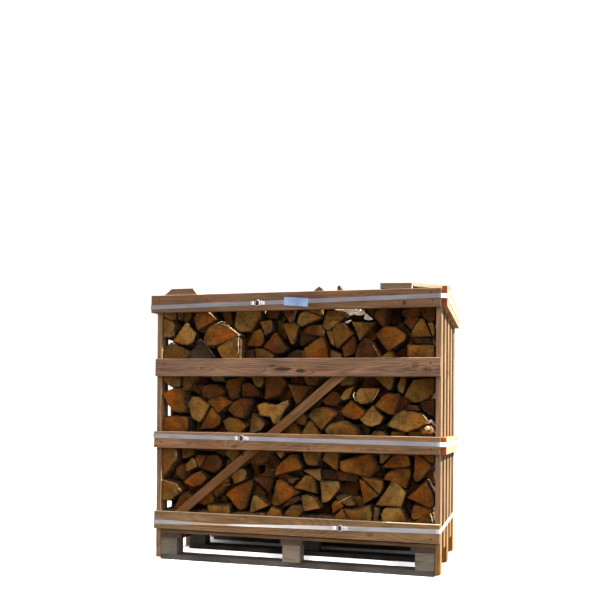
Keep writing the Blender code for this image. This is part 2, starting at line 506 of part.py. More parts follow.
def swollen(outline):
    """The outline with every edge moved out by SWELL, and kept inside the crate, in metres."""
    points = [Vector((x / 100, z / 100)) for x, z in outline]
    area = sum(a.cross(b) for a, b in zip(points, points[1:] + points[:1]))
    if area < 0:
        points.reverse()
    grown = []
    for before, here, after in zip(points[-1:] + points[:-1], points, points[1:] + points[:1]):
        first, second = (here - before).normalized(), (after - here).normalized()
        out_one, out_two = Vector((first.y, -first.x)), Vector((second.y, -second.x))
        middle = out_one + out_two
        reach = SWELL * 2 / max(middle.length_squared, 0.8)
        x, z = here + middle * reach
        x = min(max(x, -LOG_SIDE), LOG_SIDE)
        z = min(max(z, LOG_FLOOR), LOG_TOP)
        grown.append((leaned(x, z), z))
    return grown


def hidden_course(low, high, shift, peak):
    """The logs of one course behind a slat, out of sight, as pieces that lean left and right in turn."""
    count = round(2 * HIDDEN_REACH / HIDDEN_WIDTH)
    edges = [-HIDDEN_REACH + shift + number * HIDDEN_WIDTH for number in range(1, count)]
    edges = [-HIDDEN_REACH, *edges, HIDDEN_REACH]
    pieces = []
    for number, (start, end) in enumerate(zip(edges, edges[1:])):
        lean = HIDDEN_LEAN * (-1) ** number
        first = lean if number else 0
        last = lean if number < len(edges) - 2 else 0
        ridge = ((start + end) / 2 - lean, high + peak * (1 + number % 3 / 2))
        corners = [(start + first, low), (end - last, low), (end + last, high), (start - first, high)]
        pieces.append(corners[:3] + [ridge] + corners[3:] if peak else corners)
    return pieces


def firewood():
    courses = [outline for course in (LOW, MIDDLE, HIGH) for outline in course]
    for course in HIDDEN:
        courses += hidden_course(*course)
    for row, (near, far) in ROWS.items():
        logs = []
        for number, outline in enumerate(courses):
            step = STAGGER * (number * 5 % 2)
            start, end = (near + step, far) if row == "front" else (near, far - step)
            if row == "back":
                outline = [(-x, z) for x, z in outline]
            log = flat_curve(f"log_{row}_{number}", [swollen(outline)], end - start)
            log.rotation_euler = (math.pi / 2, 0, 0)
            log.location = (0, (start + end) / 2, 0)
            logs.append(as_mesh(log))
        whole = union(logs[0], logs[1:])
        whole.name = f"logs_{row}"
        tidy_faces(whole.data)
        place(whole, "log_wood")


def tidy_faces(mesh):
    """Joins faces that lie in one plane, and takes out edges that are too short to matter."""
    work = bmesh.new()
    work.from_mesh(mesh)
    bmesh.ops.remove_doubles(work, verts=work.verts, dist=SAME_POINT)
    bmesh.ops.dissolve_limit(work, angle_limit=0.001, verts=work.verts, edges=work.edges)
    bmesh.ops.dissolve_degenerate(work, dist=SHORT_EDGE, edges=work.edges)
    work.to_mesh(mesh)
    work.free()


clear_scene()
CRATE = new_collection("firewood_crate")
CUTTERS = new_collection("cutters", True)
pallet()
slats()
sides()
braces()
top_boards()
straps()
label()
firewood()
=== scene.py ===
import math
import random

import bmesh
import bpy
import numpy as np
from mathutils import Matrix, Vector, noise


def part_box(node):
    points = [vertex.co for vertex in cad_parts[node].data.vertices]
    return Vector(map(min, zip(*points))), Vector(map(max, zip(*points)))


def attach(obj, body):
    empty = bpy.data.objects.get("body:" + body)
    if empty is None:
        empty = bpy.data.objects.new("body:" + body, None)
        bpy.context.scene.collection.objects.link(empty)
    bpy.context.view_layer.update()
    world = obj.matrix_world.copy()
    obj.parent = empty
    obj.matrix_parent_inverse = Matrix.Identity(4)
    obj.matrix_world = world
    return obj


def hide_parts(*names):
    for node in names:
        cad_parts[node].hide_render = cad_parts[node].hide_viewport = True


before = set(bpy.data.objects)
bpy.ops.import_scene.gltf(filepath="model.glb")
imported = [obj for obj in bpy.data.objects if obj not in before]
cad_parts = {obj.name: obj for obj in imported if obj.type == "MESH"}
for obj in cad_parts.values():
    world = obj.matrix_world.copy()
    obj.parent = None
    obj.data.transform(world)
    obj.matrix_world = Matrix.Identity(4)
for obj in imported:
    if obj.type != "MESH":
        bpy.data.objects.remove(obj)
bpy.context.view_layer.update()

# The crate's own frame, as in the solids: where its origin lies, and how far it leans left per metre
DEPTH = 0.8
ORIGIN = Vector((0.0087, 0.0017 - DEPTH / 2, 0.012))
LEAN = 0.0119
BOARD = 0.022
BRACE_SLOPE = math.radians(40.5)

# The photograph's camera: its place, its turns in degrees, and its lens and centre in the picture's pixels
EYE = (0.896, -3.507, 0.595)
YAW, ROLL = 16.69, 1.04
PICTURE, FOCAL, CENTRE = 600, 850, (258.3, 424.4)
SENSOR = 36.0

# The light: how bright the surroundings are before and behind the crate, what share of it is left at the
# horizon, and how bright the camera sees them
FRONT_LIGHT, FRONT_LOW = 2.08, 0.25
BACK_LIGHT, BACK_LOW = 0.60, 0.12
BACKDROP = 1.1
# The lamps: strength, size in degrees, and where they shine from
SUN, SUN_SIZE, SUN_COLOUR = 15.5, 1.5, (1.0, 0.95, 0.88)
SUN_FROM = (0.60, 0.0, 0.80)
FLOOR_LIGHT, FLOOR_LIGHT_SIZE = 10.0, 3
FLOOR_LIGHT_FROM = {"left": (0.075, -0.95, 0.26), "right": (0.40, -0.87, 0.27)}
# How far the floor reaches, in metres, and its colour in the light that it throws back
FLOOR_REACH = 30
FLOOR_BOUNCE = (0.20, 0.193, 0.187, 1)

# Both rows of logs, from front to back, and the box that they stay inside, in metres
ROWS = {"front": (0.018, 0.384), "back": (0.416, 0.782)}
LOG_SIDE, LOG_FLOOR, LOG_TOP = 0.5985, 0.1308, 1.1890
# The depth at which the outlines below were drawn, in metres
OUTLINE_PLANE = 0.024
# Corners from here on stay at the crate's edge or floor, in centimetres
EDGE_X, EDGE_Z = 59.4, 13.4
# Courses behind the level boards, in centimetres: lowest, highest, shift sideways and height of their ridges
HIDDEN = ((12.8, 20.6, 0, 0), (47.9, 55.6, 4.0, 0), (80.5, 87.8, 2.0, 0), (109.8, 111.4, 5.0, 1.8))
HIDDEN_REACH, HIDDEN_WIDTH, HIDDEN_LEAN = 59.8, 9.2, 1.2
# The places along a log, in metres from its sawn end, where its sides are drawn, and the step round its rim
LOG_STEPS = (0.0, 0.0018, 0.02, 0.06, 0.12, 0.2, 0.29)
OUTLINE_STEP = 0.009
# Bark: how far out from the heart, as a share of the log's reach, and how squarely it faces away
BARK_REACH, BARK_FACING = 0.72, 0.55
# How a log varies: how far its end tilts, its far end drifts in metres, and how bright it is
LOG_TILT, LOG_DRIFT = 0.07, 0.004
BRIGHT = (0.86, 1.14)
# How deep logs' ends lie, in metres: in front, beside the left upright, at the back, and set back in gaps
FRONT_ENDS = (0.019, 0.046)
LEFT_ENDS = (0.005, 0.011)
BACK_ENDS = (0.003, 0.03)
RECESS = (0.07, 0.13)
# Logs that reach further left than this, in centimetres, lie beside the left upright
LEFT_UPRIGHT = -57.5
# The seeds of the random draws
SEEDS = {"nails": 3, "gaps": 5, "boards": 7, "front": 11, "back": 23}

# The ends of the front row's logs, one log to a row: x and z of each corner in turn, in millimetres
LOW = (
    (-598, 345, -565, 397, -540, 431, -543, 491, -598, 491),
    (-598, 248, -563, 250, -516, 290, -541, 322, -598, 338),
    (-512, 343, -497, 345, -488, 409, -522, 409, -541, 387, -535, 363),
    (-488, 380, -437, 403, -448, 437, -462, 442, -491, 411),
    (-508, 438, -482, 440, -454, 459, -452, 501, -512, 501),
    (-425, 399, -394, 453, -440, 455, -450, 437),
    (-418, 394, -366, 379, -329, 397, -323, 435, -349, 461, -390, 454),
    (-501, 332, -460, 312, -416, 324, -387, 357, -424, 381, -466, 365),
    (-546, 216, -502, 208, -458, 276, -486, 290, -514, 278),
    (-272, 431, -243, 461, -233, 501, -289, 501, -306, 461),
    (-263, 332, -217, 353, -206, 385, -217, 400, -257, 397, -276, 367),
    (-302, 287, -241, 218, -213, 228, -174, 347, -186, 355, -265, 316),
    (-388, 235, -376, 163, -293, 163, -281, 208, -285, 234),
    (-435, 244, -402, 234, -364, 246, -355, 272, -366, 288, -396, 278),
    (-361, 288, -349, 273, -305, 326, -303, 353, -321, 350, -357, 312),
    (-207, 441, -178, 416, -140, 425, -104, 487, -164, 491, -197, 465),
    (-70, 467, -53, 452, -26, 497, -74, 505),
    (-81, 375, -21, 395, 35, 407, 41, 421, 14, 470, -13, 469, -76, 411),
    (40, 497, 48, 451, 65, 423, 107, 426, 132, 497),
    (128, 449, 190, 405, 203, 497, 148, 497),
    (48, 402, 113, 361, 125, 363, 121, 410),
    (5, 326, 104, 307, 95, 369, 77, 382, 53, 381),
    (-24, 361, -4, 341, 14, 364),
    (-173, 357, -111, 305, -101, 306, -92, 367, -144, 371),
    (-150, 372, -84, 369, -90, 392, -120, 394),
    (-194, 212, -181, 210, -108, 246, -160, 286, -178, 286),
    (-92, 262, -86, 244, -62, 246, 21, 305, -54, 360, -71, 359),
    (-51, 238, -21, 250, 34, 277, 19, 287, -19, 270),
    (48, 227, 120, 243, 91, 290, 61, 300, 37, 297),
    (118, 362, 129, 267, 160, 277, 204, 332, 204, 361),
    (130, 368, 194, 369, 188, 402, 129, 406),
    (-124, 196, -114, 159, -60, 159, -43, 198, -54, 227, -94, 241),
    (-35, 218, -1, 159, 39, 222, 38, 253, -9, 249),
    (203, 445, 206, 407, 290, 391, 325, 382, 360, 425, 333, 483),
    (372, 499, 373, 440, 387, 445, 437, 499),
    (382, 427, 447, 426, 497, 436, 498, 465, 467, 499, 439, 487),
    (390, 377, 423, 369, 482, 343, 501, 401, 496, 424, 443, 420, 403, 403),
    (518, 491, 512, 385, 524, 368, 548, 387, 586, 440),
    (534, 501, 566, 458, 594, 447, 595, 501),
    (487, 303, 508, 295, 580, 264, 595, 276, 592, 322, 564, 376),
    (502, 221, 519, 214, 579, 241, 587, 259, 522, 275, 510, 270),
    (522, 208, 532, 163, 584, 169, 584, 236, 552, 229),
    (287, 374, 307, 271, 351, 298, 368, 308, 306, 366),
    (294, 386, 310, 371, 373, 312, 387, 342, 384, 368),
    (354, 267, 462, 265, 483, 327, 439, 371, 425, 370),
    (377, 228, 403, 163, 473, 163, 486, 208, 459, 262, 395, 259),
    (221, 244, 250, 198, 284, 161, 335, 182, 343, 228, 331, 263, 268, 241),
    (346, 202, 357, 176, 371, 228, 369, 257, 351, 261),
    (185, 296, 204, 276, 240, 259, 271, 264, 252, 291, 220, 307),
    (170, 260, 175, 225, 221, 258, 210, 274, 186, 283),
    (177, 206, 190, 163, 230, 159, 255, 200, 212, 245),
    (190, 402, 199, 366, 278, 366, 287, 386, 244, 401),
)
MIDDLE = (
    (-596, 829, -594, 781, -565, 756, -519, 757, -519, 829),
    (-598, 727, -581, 677, -553, 648, -522, 638, -493, 646, -508, 729, -519, 750, -561, 748),
    (-598, 618, -597, 550, -492, 540, -479, 580, -482, 621, -546, 627),
    (-511, 739, -490, 740, -469, 756, -432, 829, -504, 829),
    (-469, 766, -460, 744, -438, 726, -419, 722, -430, 766),
    (-485, 683, -464, 620, -438, 601, -421, 600, -395, 648, -381, 677, -438, 712, -465, 715),
    (-419, 713, -386, 704, -316, 729, -323, 751, -362, 768, -417, 761),
    (-392, 692, -340, 642, -313, 666, -278, 689, -333, 722, -362, 718),
    (-429, 568, -362, 575, -332, 596, -328, 620, -371, 668),
    (-394, 829, -372, 788, -316, 786, -309, 829),
    (-309, 763, -279, 698, -256, 707, -232, 800, -298, 789),
    (-232, 769, -228, 714, -159, 722, -170, 755, -197, 776),
    (-296, 654, -257, 625, -227, 621, -200, 703, -233, 706, -269, 694),
    (-320, 609, -294, 554, -253, 540, -209, 586, -245, 618, -291, 623),
    (-197, 823, -172, 764, -149, 753, -135, 769, -130, 823),
    (-125, 819, -126, 704, -98, 712, -60, 726, -31, 779, -56, 809),
    (-163, 681, -137, 688, -103, 679, -74, 678, -50, 695, -27, 700, -20, 685,
     -38, 655, -55, 629, -59, 602, -88, 597, -103, 629, -151, 637, -159, 660),
    (-196, 550, -144, 570, -124, 599, -183, 644),
    (-22, 768, 7, 698, 16, 682, 34, 700, 74, 760),
    (38, 819, 58, 768, 95, 766, 137, 819),
    (126, 699, 141, 684, 180, 682, 213, 705, 198, 734, 168, 742),
    (66, 634, 125, 575, 185, 648, 158, 665, 121, 673, 83, 659),
    (36, 554, 122, 554, 83, 615, 69, 617),
    (-45, 554, 32, 554, 13, 590, -3, 607, -22, 597),
    (10, 626, 21, 601, 48, 595, 60, 628, 39, 645),
    (136, 578, 154, 540, 244, 534, 283, 556, 270, 588, 210, 615, 164, 603),
    (205, 715, 214, 700, 239, 710, 263, 764, 228, 750),
    (189, 789, 210, 764, 253, 770, 265, 823, 204, 823),
    (269, 702, 300, 686, 332, 696, 370, 754, 286, 754, 272, 737),
    (204, 656, 220, 637, 260, 624, 291, 629, 312, 653, 250, 703, 226, 680),
    (289, 624, 306, 603, 339, 595, 370, 605, 387, 632, 341, 683),
    (351, 679, 409, 647, 430, 645, 453, 730, 403, 733, 378, 720),
    (338, 815, 403, 750, 418, 747, 434, 819),
    (442, 763, 455, 736, 468, 734, 483, 815, 463, 815),
    (470, 723, 508, 696, 540, 698, 575, 718, 594, 749, 595, 799, 508, 791),
    (534, 694, 548, 665, 572, 645, 594, 643, 594, 712),
    (404, 599, 485, 573, 577, 614, 540, 653, 467, 662, 427, 641),
    (478, 667, 532, 663, 526, 681, 486, 685),
    (328, 540, 343, 511, 399, 520, 404, 556, 383, 577, 343, 573),
    (412, 540, 443, 514, 473, 530, 478, 577, 423, 575),
    (487, 577, 498, 535, 542, 511, 595, 530, 592, 573, 552, 579),
    (525, 582, 591, 578, 595, 595, 572, 611, 548, 605),
)
HIGH = (
    (-598, 1070, -557, 1049, -543, 1067, -543, 1117, -598, 1117),
    (-598, 1061, -598, 978, -564, 978, -552, 1008, -555, 1047),
    (-538, 1097, -527, 1054, -513, 1067, -509, 1101),
    (-512, 1057, -492, 1041, -469, 1067, -462, 1112, -509, 1112),
    (-558, 961, -516, 945, -484, 943, -455, 962, -443, 994, -496, 1040),
    (-459, 1059, -442, 1009, -396, 1030, -356, 1057, -393, 1097, -438, 1099),
    (-411, 968, -394, 941, -362, 939, -311, 955, -246, 985, -323, 1034, -353, 1042, -393, 1015),
    (-350, 928, -317, 868, -243, 862, -242, 968, -267, 981),
    (-487, 894, -452, 852, -372, 856, -356, 888, -424, 964),
    (-598, 924, -596, 868, -541, 852, -496, 871, -485, 908, -565, 955),
    (-330, 1101, -307, 1032, -280, 1026, -283, 1073, -297, 1105),
    (-270, 1019, -247, 997, -193, 999, -145, 1061, -147, 1107, -257, 1107),
    (-212, 938, -150, 933, -132, 952, -135, 992, -148, 1013, -180, 999),
    (-129, 1107, -123, 1060, -80, 1052, -61, 1083, -67, 1107),
    (-151, 1041, -126, 980, -103, 993, -93, 1021, -100, 1048),
    (-61, 1105, -21, 1038, -7, 1030, 12, 1105),
    (-51, 1029, -11, 941, 1, 942, 23, 1019, -5, 1034),
    (11, 1031, 29, 1018, 124, 1054, 59, 1084, 25, 1074),
    (56, 1107, 63, 1083, 127, 1060, 127, 1107),
    (38, 998, 55, 986, 128, 975, 134, 998, 125, 1024, 69, 1020),
    (40, 918, 49, 868, 141, 858, 153, 886, 133, 967, 121, 975),
    (28, 995, 28, 937, 104, 972),
    (-137, 929, -80, 901, -44, 905, -29, 922, -76, 991, -86, 993),
    (-175, 925, -160, 858, -94, 858, -87, 894, -138, 924),
    (-220, 917, -213, 858, -174, 868, -180, 923),
    (-29, 898, -21, 858, 45, 868, 37, 910, 5, 916),
    (124, 1018, 133, 1003, 154, 999, 204, 1038, 231, 1065, 218, 1087, 146, 1082),
    (142, 997, 162, 943, 179, 930, 171, 995),
    (167, 1004, 182, 933, 192, 923, 257, 984, 214, 1028, 190, 1030),
    (161, 915, 160, 858, 204, 862, 209, 897),
    (229, 1063, 244, 1039, 305, 1041, 314, 1097, 228, 1097),
    (251, 1034, 285, 955, 350, 1028),
    (344, 1053, 386, 1011, 398, 1091, 357, 1085),
    (348, 980, 405, 909, 474, 954, 478, 978, 433, 1009, 385, 1011),
    (466, 1031, 500, 997, 531, 1045, 483, 1048),
    (456, 1076, 473, 1048, 521, 1050, 537, 1084, 498, 1095),
    (497, 984, 506, 967, 581, 969, 548, 1038, 536, 1046),
    (507, 962, 516, 941, 589, 935, 572, 961),
    (483, 935, 484, 888, 502, 858, 572, 858, 595, 878, 593, 933),
    (529, 1089, 551, 1042, 572, 1027, 595, 1033, 594, 1091),
    (567, 1024, 587, 967, 595, 978, 585, 1024),
    (211, 924, 218, 880, 262, 901, 269, 922, 261, 974),
    (265, 888, 274, 858, 333, 858, 370, 882, 340, 943, 306, 965, 280, 935),
    (369, 878, 383, 854, 429, 860, 424, 903, 405, 909),
    (88, 1109, 126, 1109, 126, 1172, 119, 1180, 110, 1184, 101, 1182, 94, 1175, 89, 1166),
    (188, 1097, 206, 1097, 206, 1172, 202, 1186, 195, 1189, 189, 1180),
)
# Recessed logs that are seen in the gaps between the others: x, z and half width in millimetres
RECESSED = (
    (80, 704, 40), (426, 1048, 38), (252, 328, 37), (136, 766, 36), (-300, 402, 33), (-99, 440, 32),
    (-9, 655, 32), (-439, 286, 30), (451, 908, 29), (-182, 386, 29), (-326, 260, 28), (-366, 350, 28),
    (-239, 426, 27), (141, 232, 27), (-66, 582, 26), (-38, 724, 26), (369, 398, 26), (-165, 309, 25),
    (-462, 580, 25), (279, 780, 25), (332, 780, 25), (-568, 351, 25), (-465, 230, 24), (-120, 279, 24),
    (295, 579, 24), (-228, 976, 23), (-76, 1015, 23), (-195, 666, 23), (482, 260, 23), (-510, 305, 22),
    (464, 695, 22), (-540, 1034, 22), (-320, 636, 22), (20, 381, 21), (505, 351, 21), (-578, 226, 21),
    (576, 391, 21), (-119, 576, 21), (-425, 782, 21), (-291, 326, 21), (-350, 1075, 20), (-216, 612, 20),
    (325, 976, 20), (326, 1075, 20), (-334, 575, 20), (21, 784, 20), (-431, 996, 20), (-494, 721, 19),
    (281, 274, 19), (374, 914, 19), (192, 631, 19), (-386, 301, 19), (-60, 1059, 19), (489, 954, 18),
    (-531, 426, 18), (121, 426, 18), (382, 595, 18), (-580, 640, 18), (381, 744, 18), (-331, 460, 18),
    (-150, 735, 18), (-20, 785, 18), (191, 672, 17), (-44, 370, 17), (-490, 928, 17), (355, 1014, 17),
    (194, 752, 17), (-51, 978, 17), (468, 1005, 17), (-586, 676, 14),
)


def rgb(*levels):
    """A colour given as it looks on screen, 0 to 255, in the linear values that shaders take."""
    return tuple(((v / 255 + 0.055) / 1.055) ** 2.4 if v > 10 else v / 3294.6 for v in levels) + (1.0,)


# The kinds of wood, and which logs of each course have them
WOOD = {
    "dark": rgb(53, 33, 16),
    "brown": rgb(76, 45, 16),
    "orange": rgb(100, 60, 17),
    "ochre": rgb(96, 67, 27),
    "dull": rgb(92, 70, 39),
    "pale": rgb(122, 90, 44),
    "slate": rgb(64, 58, 50),
}
KINDS = {
    "low": {
        "dark": (24, 27, 30, 51),
        "brown": (2, 6, 8, 15, 23),
        "orange": (4, 5, 7, 11, 13, 14, 17, 26, 33, 35, 36, 37, 39, 40, 42, 49),
        "dull": (20, 22, 47, 48),
        "pale": (3, 10, 12, 16, 25, 28, 29, 31, 34, 44, 45),
    },
    "middle": {
        "dark": (4, 35, 37),
        "brown": (6, 10, 11, 12, 15, 18, 20),
        "orange": (1, 2, 7, 8, 23, 29, 31),
        "dull": (0, 9, 17, 27, 33),
        "pale": (5, 16, 26, 28, 30, 36, 41),
    },
    "high": {
        "dark": (21, 24, 25, 30, 37),
        "brown": (13, 15, 19, 22, 32, 34, 35, 39, 41, 42),
        "orange": (5, 6, 10, 12, 20, 33),
        "dull": (29, 44, 45),
        "slate": (8,),
        "pale": (0, 1, 2, 4, 11, 17, 18, 27, 40, 43),
    },
}
OTHER_KIND = "ochre"
UNSEEN_KINDS = ("brown", "orange", "ochre", "dull")

# Front logs whose ends lie at a depth of their own, in metres, torn ones, and two that look over the top slat
DEPTHS = {
    ("high", 5): 0.004, ("high", 6): 0.003, ("high", 7): 0.003, ("high", 30): 0.085,
    ("high", 44): 0.020, ("high", 45): 0.024, ("middle", 36): 0.012, ("middle", 16): 0.019,
}
RAGGED = {
    ("middle", 16): 1.9, ("middle", 28): 2.6, ("middle", 36): 2.4, ("middle", 25): 1.6, ("high", 4): 1.6,
}
TIPS = (("high", 44), ("high", 45))

# Scraps of bark: outline in millimetres, then depth, bulge in metres and colour. The last four, beside the
# right upright, are coloured as a sunlit knob: painted sunlight
WHITISH = rgb(214, 194, 170)
FLAKES = (
    ((180, 1082, 221, 1089, 280, 1089, 282, 1074, 265, 1062, 246, 1056, 231, 1073), 0.004, 0.004, WHITISH),
    ((267, 1060, 278, 1074, 290, 1082, 307, 1078, 311, 1065, 295, 1057, 278, 1057), 0.004, 0.007, WHITISH),
    ((309, 1062, 317, 1064, 328, 1053, 345, 1040, 340, 1038, 324, 1036, 307, 1041),
     0.006, 0.005, rgb(172, 160, 148)),
    ((225, 1030, 236, 1036, 252, 1040, 250, 1034, 238, 1023, 227, 1026), 0.008, 0.003, rgb(168, 156, 142)),
    ((120, 1094, 134, 1094, 133, 1066, 123, 1069), 0.008, 0.002, rgb(170, 130, 84)),
    ((-529, 1089, -520, 1088, -518, 1066, -522, 1054, -527, 1058), 0.016, 0.002, rgb(88, 76, 60)),
    ((556, 593, 568, 603, 582, 599, 579, 586, 562, 582), 0.002, 0.006, rgb(206, 186, 130)),
    ((579, 599, 584, 603, 596, 589, 597, 575, 582, 576, 577, 586), 0.003, 0.005, rgb(176, 134, 104)),
    ((544, 584, 564, 583, 592, 576, 589, 569, 550, 570), 0.004, 0.004, rgb(126, 74, 34)),
    ((572, 623, 586, 629, 590, 622, 586, 613, 572, 614), 0.003, 0.004, rgb(180, 144, 118)),
)
# Torn edges, most of them painted pale as painted highlights where the sun catches them: path in millimetres,
# then depth, radius in metres and colour
EDGES = (
    ((-386, 1086, -374, 1077, -366, 1072, -358, 1062), 0.003, 0.0013, WHITISH),
    ((-350, 1026, -336, 1035, -324, 1041, -314, 1042, -302, 1036), 0.003, 0.0013, WHITISH),
    ((-296, 1030, -276, 1012, -260, 1000, -243, 987, -241, 976), 0.003, 0.0013, WHITISH),
    ((-241, 972, -243, 946, -241, 916, -242, 883), 0.004, 0.0012, WHITISH),
    ((-122, 1094, -120, 1084, -121, 1072), 0.004, 0.0018, rgb(226, 190, 140)),
    ((231, 1049, 248, 1057, 264, 1061), 0.006, 0.0018, rgb(150, 116, 92)),
    ((551, 645, 561, 635, 566, 626, 574, 619), 0.003, 0.0024, rgb(232, 208, 164)),
    ((560, 616, 572, 612, 586, 616), 0.003, 0.0018, rgb(216, 176, 140)),
    ((583, 246, 589, 230, 592, 209), 0.004, 0.0026, rgb(250, 226, 184)),
    ((191, 264, 212, 279, 232, 290, 261, 305), 0.014, 0.0012, rgb(196, 176, 140)),
    ((-354, 886, -382, 926, -402, 952, -422, 966, -440, 946), 0.012, 0.0010, rgb(150, 142, 124)),
    ((268, 738, 262, 724, 266, 712, 272, 700), 0.012, 0.0017, rgb(214, 190, 140)),
    ((336, 694, 356, 722, 370, 750), 0.014, 0.0012, rgb(196, 170, 116)),
)
# Each band's colour, and where each buckle's fold (a painted highlight) and gap (painted shade) start and
# end, in centimetres along x
BANDS = {"top": (126, 123, 130), "middle": (147, 146, 154), "bottom": (162, 160, 166)}
BUCKLES = {
    "top": (-17.9, -16.5, -15.6, -14.6),
    "middle": (-24.9, -23.6, -22.4, -21.3),
    "bottom": (17.7, 19.8, 20.9, 21.9),
}
BUCKLE_REACH = 0.0125
STEEL = (0.8, 0.8, 0.8)
# Where the twisted bottom band is how narrow: centimetres along x, and shares of its full height
TWIST = ((-54, -46, -34, -29, -22, -11, 0, 13, 22), (1.0, 0.70, 0.42, 0.40, 0.44, 0.58, 0.76, 0.88, 1.0))

# Each kind of board: its grain's axis, its colour, the axis and colour of faces painted paler as painted
# sunlight, and greyness
BOARDS = {
    "front_slat": ("X", (122, 92, 68), ("Z", (176, 152, 126)), 0.10),
    "back_slat": ("X", (122, 92, 68), ("Z", (176, 152, 126)), 0.15),
    "side_board": ("Z", (122, 92, 66), ("X", (138, 110, 80)), 0.05),
    "side_slat": ("Y", (164, 122, 72), ("X", (160, 141, 117)), 0.0),
    "top_board_corner": ("Y", (150, 135, 114), ("Z", (152, 140, 122)), 0.0),
    "top_board": ("Y", (124, 98, 74), ("X", (188, 164, 138)), 0.15),
    "brace": ("X", (103, 67, 39), ("Z", (103, 67, 39)), 0.03),
    "block": ("X", (112, 102, 88), ("Z", (120, 108, 96)), 0.55),
    "bottom_board": ("X", (60, 56, 53), ("Z", (70, 64, 58)), 0.35),
    # The deck boards and the stringers are painted dark: painted shade under the deck
    "deck_board": ("X", (76, 52, 34), ("Z", (92, 78, 66)), 0.20),
    "stringer": ("Y", (64, 50, 42), ("Z", (64, 50, 42)), 0.15),
}
OWN_COLOURS = {
    "deck_board_1": (100, 71, 43),
    "top_board_left": (108, 76, 48),
    "top_board_right": (106, 84, 64),
    "front_slat_top": (107, 75, 51),
    "front_slat_upper": (122, 91, 69),
    "front_slat_lower": (123, 90, 60),
    "front_slat_bottom": (121, 91, 60),
    "block_front_middle": (120, 104, 90),
    "block_front_left": (78, 72, 62),
    "block_front_right": (97, 87, 76),
    # The middle blocks and the middle bottom board are painted near black: painted shade under the pallet
    "block_middle_left": (42, 37, 32),
    "block_middle_middle": (34, 30, 26),
    "block_middle_right": (42, 37, 32),
    "bottom_board_middle": (26, 22, 19),
}
# Knots and stains: x, z, half length and half height in centimetres, and darkness
KNOTS = {
    "top_board_corner": (),
    "front_slat_top": (
        (47.5, 110.3, 1.0, 0.9, 0.95), (-38.0, 113.2, 0.7, 0.5, 0.5), (8.0, 110.6, 1.2, 0.5, 0.35),
        (30.0, 114.6, 1.6, 0.4, 0.3),
    ),
    "front_slat_upper": (
        (-3.6, 83.2, 3.4, 0.8, 0.95), (4.2, 82.4, 1.8, 0.7, 0.9), (-8.2, 84.6, 1.6, 0.6, 0.7),
        (-40.0, 83.6, 0.9, 0.6, 0.3), (52.0, 84.6, 1.6, 1.3, 0.45), (56.5, 83.0, 1.2, 0.9, 0.55),
        (46.0, 82.0, 2.4, 0.6, 0.3),
    ),
    "front_slat_lower": (
        (-25.0, 49.8, 1.4, 0.6, 0.6), (-46.0, 50.6, 0.9, 0.5, 0.55), (35.0, 50.0, 2.0, 0.5, 0.35),
        (8.0, 49.4, 0.8, 0.5, 0.4),
    ),
    "front_slat_bottom": (
        (-20.0, 19.4, 0.9, 0.5, 0.4), (34.0, 14.6, 1.3, 0.7, 0.4), (-44.0, 14.9, 1.0, 0.6, 0.4),
    ),
}
# How strongly the rings of the trunk show
FIGURE = 0.10
OWN_FIGURE = {"front_slat_upper": 0.17}
# Tints: the side slats' sawn ends, the right uprights near the ground, the front batten's painted shade low
# and painted light high
END_GRAIN = (0.684, 0.353, 0.245, 1)
FOOT_TINT = (1.08, 0.96, 0.46, 1)
BRACE_SHADED = (0.88, 0.87, 0.66, 1)
BRACE_LIT = (1.18, 1.38, 1.50, 1)
# The dark upper edge of the front deck board, and the grey of weathered wood
DECK_SHADOW = (0.012, 0.006, 0.003, 1)
WEATHERED = rgb(128, 120, 110)
# How far the boards' edges are softened, in metres
SOFT_EDGE = 0.0018
# How far the nails lie from a front slat's ends, in metres, and how high up, as shares of the slat
NAIL_INSETS, NAIL_HEIGHTS = (0.036, 0.038), (0.3, 0.72)


class Value:
    """What a node gives. Numbers can be added, subtracted, multiplied and divided."""

    def __init__(self, nodes, socket):
        self.nodes, self.socket = nodes, socket

    def __add__(self, other):
        return self.nodes.math("ADD", self, other)

    def __sub__(self, other):
        return self.nodes.math("SUBTRACT", self, other)

    def __mul__(self, other):
        return self.nodes.math("MULTIPLY", self, other)

    def __truediv__(self, other):
        return self.nodes.math("DIVIDE", self, other)


